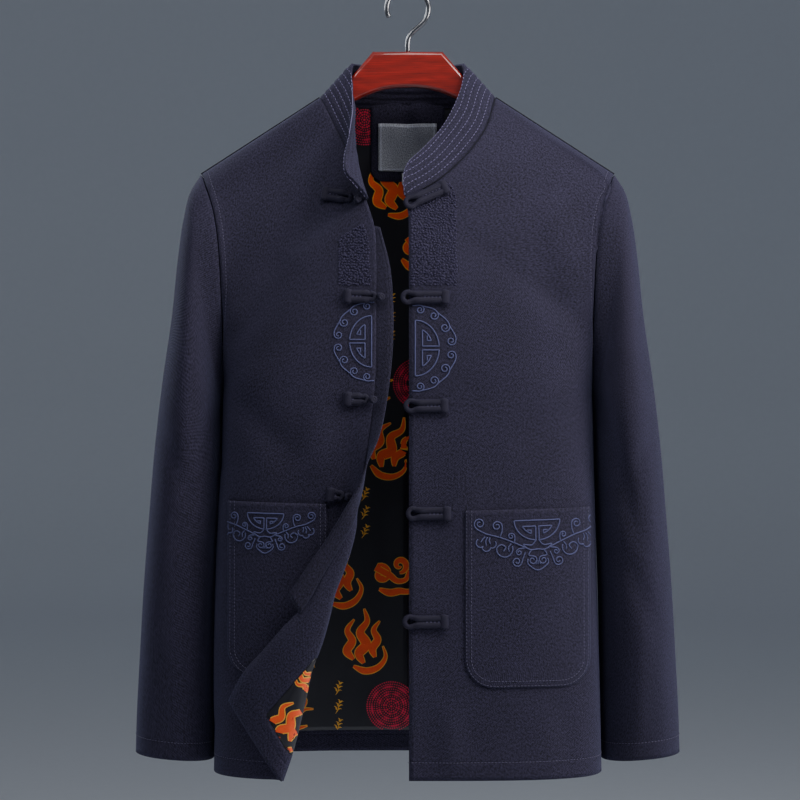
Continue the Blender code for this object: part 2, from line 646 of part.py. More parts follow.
def frog_path(panel, end, tail, radius):
    """A doubled cord: out from the tail, round a loop of this radius at the end, and back beside itself.
    Each point is x, y, z and the cord's share of its full radius."""
    end, tail = np.array(end), np.array(tail)
    along = end - tail
    length = np.linalg.norm(along)
    along /= length
    aside = np.array([-along[1], along[0]])
    neck = length - 2.4 * radius
    half = [(neck * i / 3, FROG_SPREAD, 1.0) for i in range(4)]
    for angle in LOOP_ANGLES:
        a = math.radians(angle)
        half.append((length - radius + radius * math.cos(a), radius * math.sin(a), LOOP_SHARE))
    points = []
    for u, v, share in half + [(length, 0.0, LOOP_SHARE)] + [(u, -v, w) for u, v, w in half[::-1]]:
        x, z = tail + along * u + aside * v
        points.append((*panel.point(x, z, CORD_CLEAR + FROG_CORD * share, back_to=tail), share))
    return points


def build_cord(name, points, group):
    data = bpy.data.curves.new(name, "CURVE")
    data.dimensions = "3D"
    data.bevel_depth = FROG_CORD * MM
    data.bevel_resolution = 1
    data.use_fill_caps = True
    line = data.splines.new("POLY")
    line.points.add(len(points) - 1)
    for place, (x, y, z, share) in zip(line.points, points):
        place.co = (x * MM, y * MM, z * MM, 1.0)
        place.radius = share
    return add(name, data, frog_cloth(), group)


def frog_cloth():
    return material("frog_cord", DARK_NAVY, 0.8)


def turn_to(along, normal):
    """The turn that takes X along the piece and -Y away from the panel."""
    away = Vector(normal).normalized()
    ahead = Vector(along)
    ahead = (ahead - away * ahead.dot(away)).normalized()
    return Matrix((ahead, -away, ahead.cross(-away))).transposed()


def build_tab(name, panel, end, tail, group):
    """The folded end that covers a cord's two ends."""
    away = np.array(tail) - np.array(end)
    away /= np.linalg.norm(away)
    x, z = np.array(tail) + away * (TAB_LENGTH / 2 + GAP)
    place = panel.point(x, z, CORD_CLEAR + TAB_THICK / 2)
    made = bmesh.new()
    bmesh.ops.create_cube(made, size=1.0)
    bmesh.ops.scale(made, vec=Vector((TAB_LENGTH, TAB_THICK, TAB_HEIGHT)) * MM, verts=made.verts)
    mesh = bpy.data.meshes.new(name)
    made.to_mesh(mesh)
    made.free()
    obj = add(name, mesh, frog_cloth(), group)
    obj.location = Vector(place) * MM
    obj.rotation_euler = turn_to((away[0], 0.0, away[1]), panel.touch(x, z)[1]).to_euler()
    edge = obj.modifiers.new("Edge", "BEVEL")
    edge.width = 1.2 * MM
    edge.segments = 1


def build_knot(name, centre, group):
    made = bmesh.new()
    bmesh.ops.create_uvsphere(made, u_segments=12, v_segments=8, radius=KNOT_RADIUS * MM)
    mesh = bpy.data.meshes.new(name)
    made.to_mesh(mesh)
    made.free()
    mesh.shade_smooth()
    obj = add(name, mesh, frog_cloth(), group)
    obj.location = Vector(centre) * MM


def build_frogs(left, right, flap, group):
    """Five loops on the left front and five knots on the right, the lowest on the turned-back corner."""
    for i, (x, z, tail_x, tail_z) in enumerate(FROG_LOOPS, 1):
        end, tail = (x, z), (tail_x, tail_z)
        build_cord(f"frog_loop_{i}", frog_path(left, end, tail, LOOP_RADIUS), group)
        build_tab(f"frog_loop_tab_{i}", left, end, tail, group)
    for i, (x, z, tail_x, tail_z, lift) in enumerate(FROG_KNOTS, 1):
        panel = flap if i == len(FROG_KNOTS) else right
        tail = np.array([tail_x, tail_z])
        centre = panel.point(x, z, lift + KNOT_RADIUS, back_to=tail)
        middle = centre[[0, 2]]
        step = (tail - middle) / np.linalg.norm(tail - middle)
        end = middle + step * (KNOT_RADIUS + FROG_CORD * LOOP_SHARE + KNOT_CLEAR)
        build_cord(f"frog_strap_{i}", frog_path(panel, end, tail, FROG_SPREAD), group)
        build_tab(f"frog_strap_tab_{i}", panel, end, tail, group)
        build_knot(f"frog_knot_{i}", centre, group)


# The hanger

def build_hanger(group):
    outline = [*HANGER, *[(-x, z) for x, z in HANGER[-2:0:-1]]]
    made = bmesh.new()
    points = [made.verts.new((x * MM, -HANGER_THICK / 2 * MM, z * MM)) for x, z in outline]
    face = made.faces.new(points)
    face.normal_update()
    if face.normal.y > 0:
        face.normal_flip()
    grown = bmesh.ops.extrude_face_region(made, geom=[face])
    moved_points = [g for g in grown["geom"] if isinstance(g, bmesh.types.BMVert)]
    bmesh.ops.translate(made, vec=(0.0, HANGER_THICK * MM, 0.0), verts=moved_points)
    bmesh.ops.recalc_face_normals(made, faces=made.faces)
    mesh = bpy.data.meshes.new("hanger")
    made.to_mesh(mesh)
    made.free()
    obj = add("hanger", mesh, material("red_lacquer", LACQUER, 0.25), group)
    edge = obj.modifiers.new("Edge", "BEVEL")
    edge.width = HANGER_EDGE * MM
    edge.segments = 3
    edge.limit_method = "ANGLE"
    edge.angle_limit = math.radians(60)


def build_hook(group):
    """The wire: up out of the wood, and round from below on the left, over the top and down."""
    middle = WIRE - HOOK_RADIUS
    points = [(0.0, HANGER[0][1] + GAP), (0.0, STEM_TOP - 6.0), (1.2, STEM_TOP)]
    for angle in np.linspace(math.radians(HOOK_FROM), math.radians(HOOK_TO), 20):
        points.append((HOOK_RADIUS * math.cos(angle), middle + HOOK_RADIUS * math.sin(angle)))
    data = bpy.data.curves.new("hook", "CURVE")
    data.dimensions = "3D"
    data.bevel_depth = WIRE * MM
    data.bevel_resolution = 2
    data.use_fill_caps = True
    line = data.splines.new("POLY")
    line.points.add(len(points) - 1)
    for place, (x, z) in zip(line.points, points):
        place.co = (x * MM, 0.0, z * MM, 1.0)
    add("hook", data, material("chrome", CHROME, 0.15, 1.0), group)


def main():
    clear_scene()
    group = bpy.data.collections.new("tang_jacket")
    bpy.context.scene.collection.children.link(group)
    left, right, back = left_front_grid(), right_front_grid(), back_grid()
    cloth("front_left", left, WALL, navy(), group)
    build_right_front(right, group)
    build_underlap(right, group)
    lined = build_back(back, group)
    build_sleeves(left, right, back, group)
    build_collar(left, right, back, group)
    roll_end = FRONT_ACROSS + ROLL_SPANS
    left_side = Panel(left)
    right_side = Panel(right[:, :FRONT_ACROSS + 1], right[:len(RIGHT_FRONT) + 4])
    flap = Panel(right[len(RIGHT_FRONT) + 4:, roll_end:], towards=-1.0)
    build_pockets(left_side, right_side, right[:, FRONT_ACROSS], group)
    build_neck_pieces(Panel(lined, mirrored(lined), towards=-1.0), group)
    build_frogs(left_side, right_side, flap, group)
    build_hanger(group)
    build_hook(group)


main()
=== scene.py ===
"""A Tang jacket hanging open on a lacquered wooden hanger: its cloth, sewing, embroidery and finishes."""

import functools
import math

import bmesh
import bpy
import numpy as np
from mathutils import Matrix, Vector
from mathutils.bvhtree import BVHTree


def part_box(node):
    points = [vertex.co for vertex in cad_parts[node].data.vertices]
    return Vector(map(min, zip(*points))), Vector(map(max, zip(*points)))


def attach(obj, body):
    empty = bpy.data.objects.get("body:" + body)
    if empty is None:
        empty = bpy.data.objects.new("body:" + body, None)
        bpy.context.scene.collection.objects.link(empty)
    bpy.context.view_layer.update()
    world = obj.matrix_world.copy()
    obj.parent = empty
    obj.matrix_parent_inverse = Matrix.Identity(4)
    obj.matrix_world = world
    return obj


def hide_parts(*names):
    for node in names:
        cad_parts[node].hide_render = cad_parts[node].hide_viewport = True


bl_info = {
    "name": "Tang jacket",
    "version": (1, 0, 0),
    "blender": (4, 5, 0),
    "location": "3D View > Sidebar > Jacket",
    "description": "Dresses a jacket on a hanger in twill, stitching, embroidery and a printed lining",
    "category": "Object",
}

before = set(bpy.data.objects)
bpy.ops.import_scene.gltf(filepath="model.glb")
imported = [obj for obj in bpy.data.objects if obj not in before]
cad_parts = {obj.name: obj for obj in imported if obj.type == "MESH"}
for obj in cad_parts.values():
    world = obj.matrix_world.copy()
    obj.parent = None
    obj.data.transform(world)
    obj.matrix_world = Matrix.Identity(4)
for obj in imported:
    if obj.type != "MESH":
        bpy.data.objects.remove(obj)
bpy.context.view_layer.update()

MM = 0.001
FLIP = np.array([-1.0, 1.0, 1.0])     # to the other side of the body

# Cloth
WALL = 1.8            # outer cloth with its interlining
FACING = 1.0          # turned-in cloth inside an edge
LINING = 0.8          # satin lining
PATCH = 1.3           # a patch pocket's cloth
COLLAR = 3.0          # quilted stand collar
GAP = 0.35            # between layers
SEAM = 0.45           # from a seam's line to each piece's edge
COLLAR_LIFT = -0.3    # from the neck's seam to the collar's edge
HEM = -841.0          # height of the hem
HEM_TURN = 28.0       # cloth turned up inside the hem

# Grids
FRONT_ACROSS = 13     # spans across a front
BACK_ACROSS = 12      # spans across half the back
LOW_SQUARE = 3.6      # squareness of the body's section below the armholes
SECTION_POINTS = 80   # points on a section before it is divided into spans
COLLAR_UP = 4         # spans up the collar
BEND_WEIGHT = 60.0    # length that a turn of one radian counts for when points are spaced
ROLL_SPANS = 4        # spans round the turned-back front's roll
LINED_SPANS = 2       # spans over the lining on it
FACED_SPANS = 3       # spans over the facing on it
FACED_WIDTH = 45.0    # width of the facing

# The left front, neck to hem. Each row runs from the neckline or front edge to the armhole or side seam.
# start x, y, z, side x, y, z, squareness, spans to the next row
LEFT_FRONT = [
    (95.5, -0.8, -117, 224, -0.8, -200, 1.4, 1),
    (94.5, -7.5, -118.8, 222.3, -7.5, -202, 1.4, 1),
    (91.5, -17.5, -129, 217, -26, -214, 1.6, 1),
    (84, -34, -152, 208, -42, -238, 1.8, 1),
    (70, -50, -174, 202, -53, -268, 2, 1),
    (52, -63, -195, 199, -58, -300, 2.2, 1),
    (30, -74, -214, 197.5, -57, -335, 2.4, 1),
    (11, -80, -226, 197, -54, -355, 2.6, 1),
    (1, -83, -234, 197, -50, -375, 2.8, 2),
    (1, -93, -280, 197, -36, -408, 3, 1),
    (1, -100, -340, 198, -16, -435, 3.3, 1),
    (1, -104, -400, 198.5, -SEAM, -447, 3.6, 2),
    (1, -106, -500, 200.5, -SEAM, -530, 3.6, 2),
    (1, -107, -600, 203, -SEAM, -620, 3.6, 2),
    (1, -108, -720, 206, -SEAM, -730, 3.6, 2),
    (1, -108, HEM, 208.5, -SEAM, HEM, 3.6, 1),
]
# The right front's neck and edge beside the same armhole, on the +X side until it is mirrored: x, y, z
RIGHT_EDGE = [
    (95.5, -0.8, -117), (94.5, -7.5, -118.8), (89, -15, -129), (79, -22, -150),
    (66.5, -40, -175), (59, -53, -193), (52.7, -65, -210), (47.8, -74, -224),
    (44, -82, -235),
]
# Its rows as far as its roll, each start x, y, z, side x, y, z and squareness
RIGHT_FRONT = [(*start, *left[3:7]) for start, left in zip(RIGHT_EDGE, LEFT_FRONT)] + [
    (35.5, -90, -262, 197, -40, -398, 2.9),
    (33.3, -97, -299, 197.3, -26, -424, 3.1),
    (33.3, -101, -341, 198, -12, -440, 3.3),
    (33.3, -104, -383, 198.5, -SEAM, -447, 3.6),
    (34.3, -105, -426, 199.2, -SEAM, -478, 3.6),
]
# Its turned-back corner: start x, y, z, side x, z, turn in degrees, edge x, y, z
TURNED_FRONT = [
    (66, -105.4, -487, 200.1, -523, 15, 41.6, -110, -487),
    (65.6, -105.8, -517, 200.8, -546, 35, 45.7, -114, -516.5),
    (68, -106.1, -545, 201.5, -568, 60, 51.5, -118.5, -544),
    (63.5, -106.4, -570, 202, -588, 125, 58.8, -123, -566),
    (67, -106.5, -598, 202.7, -611, 165, 71, -121, -591),
    (75, -106.4, -623, 203.3, -634, 180, 80, -119.8, -608),
    (84, -106.1, -646, 203.9, -655, 180, 91, -119.8, -626),
    (90, -105.9, -671, 204.5, -678, 180, 101.5, -119.7, -645),
    (97, -105.5, -697, 205.2, -702, 180, 113.5, -119.2, -663),
    (106, -104.8, -721, 205.9, -725, 180, 129.5, -116.5, -680),
    (115, -103.4, -760, 206.8, -761, 180, 149, -111.3, -703),
    (128, -101.2, HEM + HEM_TURN, 207.9, HEM + HEM_TURN, 180, 170.5, -103, -727.5),
    (137.5, -99.7, HEM, 208.5, HEM, 180, 188, -91.8, -759),
]
ROLL_LENGTH = (15.0, 20.3)      # round the roll where its turn is 0 and where it is 180 degrees
EDGE_STRIP = 30.0     # how far inside the edge the roll's spans start where it isn't turned
LINED_TO = 11         # the row of TURNED_FRONT where the lining ends
# The underlap's outer edge, for the rows of the right front from the neck down, x, y, z
UNDERLAP = [
    (29.5, -90.2, -264), (19, -97, -304), (15.6, -101, -341),
    (15.6, -104.5, -383), (19.5, -107.5, -426), (32, -120, -486), (43.5, -132.5, -511),
    (50.5, -136, -532), (63, -133, -553), (77, -128, -577), (88.5, -125, -595),
    (101, -124, -612), (113, -123, -630), (123.5, -121.5, -646),
]
UNDERLAP_WALL = WALL - 0.2
UNDERLAP_TUCK = 4.0   # how far the front's edge lies over it
UNDERLAP_FROM = 9     # the first of those rows
# Half of the back, as the left front. The start is the neckline and then the middle line.
BACK = [
    (95.5, 0.8, -117, 224, 0.8, -200, 1.4, 1),
    (94.5, 8, -118.4, 222.3, 8, -202, 1.4, 1),
    (90, 24, -119.5, 217, 31, -214, 1.6, 1),
    (72, 45, -120, 209, 50, -245, 1.8, 1),
    (40, 58.5, -121, 203.5, 60, -285, 2, 1),
    (0, 62.5, -122, 200.5, 62, -325, 2.3, 1),
    (0, 74, -162, 198.8, 55, -368, 2.6, 1),
    (0, 85, -217, 198, 40, -405, 3, 1),
    (0, 93, -285, 198.2, 18, -435, 3.3, 1),
    (0, 98, -360, 198.5, SEAM, -447, 3.6, 1),
    (0, 101, -450, 200, SEAM, -505, 3.6, 2),
    (0, 103, -550, 202, SEAM, -585, 3.6, 1),
    (0, 105, -650, 204.5, SEAM, -670, 3.6, 2),
    (0, 106, HEM + HEM_TURN, 207.9, SEAM, HEM + HEM_TURN, 3.6, 1),
    (0, 106, HEM, 208.5, SEAM, HEM, 3.6, 1),
]
BACK_NECK_ROWS = 6    # rows of the back that start on the neckline
LINED_BACK_FROM = 2   # the row under which the back is lined
# The collar's top edge over each row of the neckline, x, y, z, and how far the middle bows to +X
COLLAR_BACK = [
    (61, 8, -78, 0), (57.5, 16, -77.5, 0), (47, 29, -77, 0),
    (28, 39, -77, 0), (0, 42.5, -77, 0),
]
COLLAR_LEFT = [
    (61.8, -2.5, -80, 1), (61.2, -8.5, -88, 1), (58.5, -16.5, -105, 1),
    (50.7, -28, -127, 1), (37, -42, -153, 1), (15, -59, -179, 1),
    (-1, -71, -196, 1), (-5, -80, -212, 0), (-3.6, -82.5, -228, 0),
]
COLLAR_RIGHT = [
    (-61.8, -2.5, -80, 0), (-61.5, -8.5, -88, 0), (-60.5, -16, -104, 1),
    (-59.2, -27, -126, 3), (-60, -60, -150, 6), (-63.5, -84, -174, 8),
    (-67, -97, -194, 8), (-66, -103, -208, 6), (-54.5, -98, -222, 2),
]
# A sleeve: outer x, z, inner x, z, half its depth, spans to the next row
SLEEVE = [
    (233.5, -216, 199.6, -453, 64, 1),
    (241.5, -245, 200.3, -459, 70, 1),
    (248, -290, 200.7, -465, 76, 1),
    (254, -350, 201, -474, 81, 1),
    (264, -420, 201.6, -488, 83, 1),
    (273, -495, 202.4, -522, 80, 1),
    (279, -565, 204.4, -577, 75, 1),
    (285, -640, 206.6, -647, 69, 2),
    (293.5, -790, 209.4, -796, 52, 1),
    (294.5, -824.5, 210, -832, 49, 1),
]
SLEEVE_START = 1.4    # from the armhole's edge to the sleeve's
SLEEVE_SQUARE = 0.9   # power that makes a ring a little squarer than an ellipse
EVEN_RINGS = 4        # rings over which the armhole's spacing evens out
UNDERARM = -447.0

# Patch pockets: x of both sides, top z at each, bottom z
POCKETS = {
    "left": (59, 192, -560, -557.5, -744.5), "right": (-189, -84, -551, -553, -735),
}
POCKET_CORNER = 30.0
ROLL_CLEAR = 2.0      # from the right pocket's edge to the front's roll
NECK_CLEAR = 2.4      # from the lining to the facing laid on it
PATCH_CLEAR = 1.0     # from one flat piece in the neck to the next
# Frog loops, neck to hem: the loop's tip x, z, and the cord's tail x, z
FROG_LOOPS = [
    (-2, -240, 37.5, -222), (-5.4, -338, 38.5, -338), (-2.2, -451, 37.5, -451),
    (0.2, -563, 40.5, -563), (-3.4, -675.4, 37.5, -675.4),
]
# The tails of the cords that carry the knots, x, z. Each knot stays where its CAD node is.
KNOT_TAILS = [(-86, -228), (-62.3, -337), (-62.3, -444), (-80.5, -543.5), (-98, -661)]
FROG_CORD = 3.0       # radius of a frog's cord
LOOP_SHARE = 0.75     # how thin the cord is round a loop
LOOP_ANGLES = (125, 80, 40)     # places round half a loop, in degrees from its tip
LOOP_NECK = 2.4       # from a loop's tip to where the cords meet, in its radii
FROG_SPREAD = 3.35    # from a frog's middle to each cord's
LOOP_RADIUS = 5.4     # middle of the cord round a loop
KNOT_RADIUS = 4.8
# Inside the back's neck
NECK_FACING = (41, -112, -201, 12)       # half width, top z, bottom z, corner
LABEL = (32.5, -138.5, -190, 2)
SIZE_TAB = (6, -192, -205, 1.5)
# The hanger: its outline's half, top from the middle outwards and then back underneath, x, z
HANGER = [
    (0, -67.4), (38, -67.4), (60, -93.5), (80, -115), (97, -121.9), (202, -189.7),
    (207.5, -196), (208, -203), (202, -209), (190, -208), (140, -176),
    (98, -149), (56, -120), (30, -109.5), (0, -106),
]
HANGER_THICK = 13.0
HANGER_EDGE = 4.5
WIRE = 2.6            # radius of the hook's wire
HOOK_RADIUS = 22.6    # middle of the wire round the hook
HOOK_FROM, HOOK_TO = -48.0, 205.0          # degrees round the hook
STEM_TOP = -52.0

# Finer forms
EDGE_CROWD = 2.0      # columns closer together than this at the back's side are spread out
CLOTH_STEP = 5.0      # size of the cloth's cells
COLLAR_STEP = 1.2     # the same up the collar
COLLAR_ROWS = 7.4     # from one row of the collar's stitching to the next
COLLAR_LINES = 6      # the number of those rows
COLLAR_PAD = 1.0      # how deep they are drawn in
PATCH_STEP = 4.0      # between the rows of a patch's grid
PATCH_COLUMNS = 32
FEEL_FROM = 400.0     # how far in front of the jacket's middle a panel is felt for from
FEEL_STEPS = 80       # millimetre steps in which a panel is looked for from off its edge
PATCH_EDGE = 4.0      # width of a patch's edge, over which it is drawn down to the cloth
POCKET_OUT = 2.4      # a pocket's outer side from the front
POCKET_TUCK = 1.0     # how much lower its sewn edges are
POCKET_BELLY = 2.0    # how much higher its middle is
CORD_LIFT = 0.3       # from the cloth to the underside of a frog's cord
CORD_FLAT = 0.8       # how flat a frog's cord is
CORD_WIDE = 1.14      # and how much wider for it
FROG_SEAM = 0.55      # from a frog's middle to each of its rows of stitches
FROG_SEAM_LIFT = 0.6 + FROG_CORD * CORD_FLAT * 1.35
TAB_HALF = 8.0        # half the length of the fold over a frog's tail
TAB_WIDE = 4.3        # half its width
TAB_HIGH = 2.9        # half its height
KNOT_CORD = 1.5       # radius of the cord wound round a knot
KNOT_WEAVE = 0.35     # how far it goes in and out where it crosses itself
KNOT_SWING = 1.15     # how far up and down the ball it goes, in radians
# Sewing
CORD_SUNK = 0.45      # from the cloth to the middle of sewn-down cord, in its radii
SEWN_FLAT = 0.75      # how flat such cord is
STITCH_LIFT = 0.12    # from the cloth to a stitch's middle
# The neck and shoulder seams get a dark cord of painted shadow, placed and sized by these:
SEAM_SHADOW_INSET = 0.3      # from an edge to the painted shadow line of the seam, for the neck and the shoulders
SEAM_SHADOW_LIFT = 0.4
SEAM_SHADOW_RADIUS = 0.6
NECK_END = -226.0     # height at which the left front's neckline ends
ARMHOLE_STITCH = 7.0  # from an edge to its row of stitches
HEM_STITCH = 19.0
CUFF_STITCH = 19.0
POCKET_STITCHES = (2, 7)
POCKET_SEAM_TOP = 1.0     # from a pocket's mouth to where its stitches start
# The lining's motifs
PRINT_TOP = -134.0    # the highest row of the lining's motifs
PRINT_DOWN = 73.0     # from one row to the next
PRINT_ACROSS = 60.0   # from one motif to the next
PRINT_ROWS = (
    "fsrcsfs", "scsfrsc", "rfscsrf", "crfsscf", "sfcrfsc", "rssfscr", "fcssrsf", "srfcsfs", "csfsrcs",
    "fcsrsfc",
)
PRINT_KINDS = {"f": "flame", "c": "cloud", "r": "rosette", "s": "sprig"}
PRINT_SIZE = 1.1
SPRIG_SIZE = 0.62
SPRIG_HEIGHTS = (-21, 0, 21)    # three sprigs stand one above the other
PRINT_LIFT = 0.25     # from the lining to its motifs
OUTLINE = 1.8         # how much wider a stroke's outline is
# Motifs on the turned-back corner: kind, x, z, turn, scale
CORNER_PRINT = [("flame", -122, -781, -30, 0.9), ("flame", -104, -735, 60, 0.5)]
# The lining's lower left edge on that corner, from x, z to x, z
CORNER_SEAM = [(-96.3, -711), (-144.9, -768.9)]
# The knotted bands beside the fastenings, each row left x, right x and z
LEFT_BAND = [(36, 46, -217), (6, 50.5, -232), (3.5, 51, -245), (3.5, 51, -328)]
RIGHT_BAND = [(-50, -46, -262), (-72, -42, -275), (-72, -38.5, -327)]
BAND_STEP = 3.0       # between the rows of the cloth that their knots are scattered on
BAND_COLUMNS = 12
BAND_LIFT = 0.35
# Soft folds: from x, z to x, z, half width, height, and the side it is on: -1 front, 1 back, 0 both
LEFT_CREASES = np.array([
    (196, -430, 120, -500, 16, -3, -1),
    (190, -380, 130, -300, 20, -3, -1),
    (150, -230, 175, -330, 18, 2.5, -1),
    (40, -760, 48, -835, 14, 2.5, -1),
    (165, -760, 172, -838, 16, -3, -1),
    (60, -470, 52, -640, 22, 2, -1),
])
RIGHT_CREASES = np.array([
    (-196, -430, -115, -510, 16, -3, -1),
    (-188, -385, -128, -300, 20, -3, -1),
    (-150, -230, -172, -325, 18, 2, -1),
    (-100, -430, -88, -560, 20, 2.5, -1),
    (-203, -530, -206, -780, 24, 3.5, 0),
])
BACK_CREASES = np.array([
    (-190, -420, -100, -540, 20, -4, 1),
    (188, -425, 110, -520, 18, -3.5, 1),
    (-20, -420, -26, -780, 26, 3, 1),
    (70, -560, 78, -835, 22, 3, 1),
    (-110, -600, -122, -838, 24, -3.5, 1),
    (-203, -530, -206, -780, 24, 3.5, 0),
])
SLEEVE_CREASES = np.array([
    (205, -450, 245, -600, 11, -4, -1),
    (230, -330, 236, -560, 12, 2.5, -1),
    (262, -470, 225, -560, 10, -2.5, -1),
    (226, -600, 262, -690, 11, -2.5, -1),
    (250, -660, 246, -815, 9, 2, -1),
    (205, -460, 250, -640, 13, -4, 1),
    (240, -360, 244, -700, 13, 3, 1),
])

# Colours
TWILL_PITCH = 2.0     # from one rib of the twill to the next
SHEEN = (0.30, 0.32, 0.60)
LINING_BLACK = (0.0105, 0.0100, 0.0150)
LABEL_DARK = (0.14, 0.145, 0.17)
LABEL_LIGHT = (0.70, 0.72, 0.85)
WOOD_DARK = (0.105, 0.0045, 0.0022)
WOOD_LIGHT = (0.370, 0.0130, 0.0060)

# The stage, in metres
CAMERA = (-0.0083, -2.535, -0.445)
LENS = 105.1
AIM = (0.0, 0.0, -0.45)         # the point that the lights face
FLOOR = -1500.0       # height of the floor, in millimetres
# How far out and how high over the floor its rings are, in millimetres
FLOOR_PROFILE = [
    (1.0, 0.0), (9000.0, 0.0), (10200.0, 250.0), (11000.0, 1100.0), (11300.0, 2600.0), (11300.0, 9000.0),
]
# name, place, watts, size, colour
LIGHTS = [
    ("key", (1.0, -0.8, 0.9), 23.5, 0.7, (1.0, 0.98, 0.96)),
    ("side", (2.2, -0.75, -0.1), 33.0, 1.0, (1.0, 0.98, 0.97)),
    ("fill", (-1.35, -0.95, 1.1), 10.0, 0.8, (0.94, 0.97, 1.0)),
    ("top", (0.1, -0.8, 0.95), 9.5, 0.8, (1.0, 1.0, 1.0)),
    ("rim", (-1.3, 0.9, 0.5), 14.0, 0.8, (0.9, 0.95, 1.0)),
]
ROOM = (0.80, 0.84, 0.90)
ROOM_LIGHT = 0.165


# Curves and grids, in millimetres

def summed(steps):
    """The steps' running sum, from 0."""
    return np.concatenate([[0.0], np.cumsum(steps)])


def length_along(line):
    """How far along a line each of its points is."""
    return summed(np.linalg.norm(np.diff(line, axis=0), axis=1))


def sampled(line, at, wanted):
    """Points at the wanted places along a line whose own points are at these."""
    return np.stack([np.interp(wanted, at, values) for values in line.T], axis=1)


def curved(stops, slopes, gaps, spans):
    """The stops with more worked out between them, on a smooth curve through them all with these slopes."""
    made = []
    for i, (gap, count) in enumerate(zip(gaps, spans)):
        for t in np.arange(count) / count:
            made.append(
                (2 * t**3 - 3 * t**2 + 1) * stops[i] + (t**3 - 2 * t**2 + t) * gap * slopes[i]
                + (3 * t**2 - 2 * t**3) * stops[i + 1] + (t**3 - t**2) * gap * slopes[i + 1]
            )
    return np.array([*made, stops[-1]])


def with_spans(rows):
    """A table's rows, with so many spans from each to the next as its last column says."""
    rows = np.array(rows, float)
    values, spans = rows[:, :-1], rows[:, -1].astype(int)
    steps = np.sqrt(np.linalg.norm(np.diff(values, axis=0), axis=1))
    rise = np.diff(values, axis=0) / steps[:, None]
    slope = np.array([rise[0], *((rise[:-1] + rise[1:]) / 2), rise[-1]])
    slope[1:-1][rise[:-1] * rise[1:] <= 0] = 0.0
    return curved(values, slope, steps, spans)


def spaced(points, spans):
    """Points along a line of points, closer together where it bends."""
    steps = np.diff(points, axis=0)
    lengths = np.linalg.norm(steps, axis=1)
    bends = np.linalg.norm(np.diff(steps / lengths[:, None], axis=0), axis=1)
    run = summed(lengths + BEND_WEIGHT * np.concatenate([bends, bends[-1:]]))
    return sampled(points, run, np.linspace(0.0, run[-1], spans + 1))


def section(start, side, square, spans):
    """A stretch of the superellipse round the body's middle line, from the start to the side."""
    reach = min(abs(start[0] / side[0]), 0.999)
    angle = np.linspace(math.asin(reach ** (square / 2)), math.pi / 2, SECTION_POINTS)
    across = np.sin(angle) ** (2 / square)
    depth = np.cos(angle) ** (2 / square)
    depth = np.maximum(depth, 0.0) / depth[0]
    x = side[0] * across
    x[0] = start[0]
    y = side[1] + (start[1] - side[1]) * depth
    run = summed(np.hypot(np.diff(x), np.diff(y)))
    z = start[2] + (side[2] - start[2]) * run / run[-1]
    return spaced(np.stack([x, y, z], axis=1), spans)


def grid_normals(grid):
    """Each point's direction away from the wall, and how much further the point moves than the wall does."""
    across = grid[:, 1:] - grid[:, :-1]
    down = grid[1:] - grid[:-1]
    flat = np.cross(down[:, :-1] + down[:, 1:], across[:-1] + across[1:])
    flat /= np.linalg.norm(flat, axis=2, keepdims=True)
    total = np.zeros_like(grid)
    for i in (0, 1):
        for j in (0, 1):
            total[i:i + flat.shape[0], j:j + flat.shape[1]] += flat
    normal = total / np.linalg.norm(total, axis=2, keepdims=True)
    stretch = np.zeros(grid.shape[:2])
    count = np.zeros(grid.shape[:2])
    for i in (0, 1):
        for j in (0, 1):
            part = (slice(i, i + flat.shape[0]), slice(j, j + flat.shape[1]))
            stretch[part] += (normal[part] * flat).sum(axis=2)
            count[part] += 1
    return normal, count / stretch


def moved(grid, distance):
    normal, stretch = grid_normals(grid)
    return grid + normal * (np.minimum(stretch, 1.2) * distance)[:, :, None]


def trimmed(grid, top=0.0, bottom=0.0, first=0.0, last=0.0):
    """The grid with its edges drawn in by so many millimetres."""
    grid = grid.copy()
    for lines, amount, edge, inner in (
        (grid, top, 0, 1), (grid, bottom, -1, -2),
        (grid.swapaxes(0, 1), first, 0, 1), (grid.swapaxes(0, 1), last, -1, -2),
    ):
        step = lines[inner] - lines[edge]
        lines[edge] += step * (amount / np.linalg.norm(step, axis=1, keepdims=True))
    return grid


def mirrored(grid):
    """The grid on the other side of the body, with its faces still outwards."""
    return (grid * FLIP)[:, ::-1]


def front_grid(rows, spans):
    return np.array([section(r[0:3], r[3:6], r[6], spans) for r in rows])


def left_front_grid():
    return front_grid(with_spans(LEFT_FRONT), FRONT_ACROSS)


def turned_row(row):
    """One row of the right front from the side seam over the roll to the edge, on the +X side."""
    start, side = np.array(row[0:3]), np.array([row[3], -SEAM, row[4]])
    turn, edge = math.radians(row[5]), np.array(row[6:9])
    base = section(start, side, LOW_SQUARE, FRONT_ACROSS)[::-1]
    ahead = base[-1] - base[-2]
    ahead /= np.linalg.norm(ahead)
    out = np.cross(ahead, (0.0, 0.0, 1.0))
    out *= -np.sign(out[1]) / np.linalg.norm(out)
    radius = (ROLL_LENGTH[0] + (ROLL_LENGTH[1] - ROLL_LENGTH[0]) * row[5] / 180.0) / turn
    roll = [
        start + radius * (math.sin(a) * ahead + (1 - math.cos(a)) * out)
        for a in turn * np.arange(1, ROLL_SPANS + 1) / ROLL_SPANS
    ]
    return np.array([*base, *roll, *flap_points(roll[-1], edge)])


def flap_points(start, edge):
    """The straight stretch past the roll: the lining's spans, and then the facing's."""
    length = np.linalg.norm(edge - start)
    lined = max(length - FACED_WIDTH, min(3.0, 0.3 * length))
    along = [
        *(lined * np.arange(1, LINED_SPANS + 1) / LINED_SPANS),
        *(lined + (length - lined) * np.arange(1, FACED_SPANS + 1) / FACED_SPANS),
    ]
    return [start + (edge - start) * (a / length) for a in along]


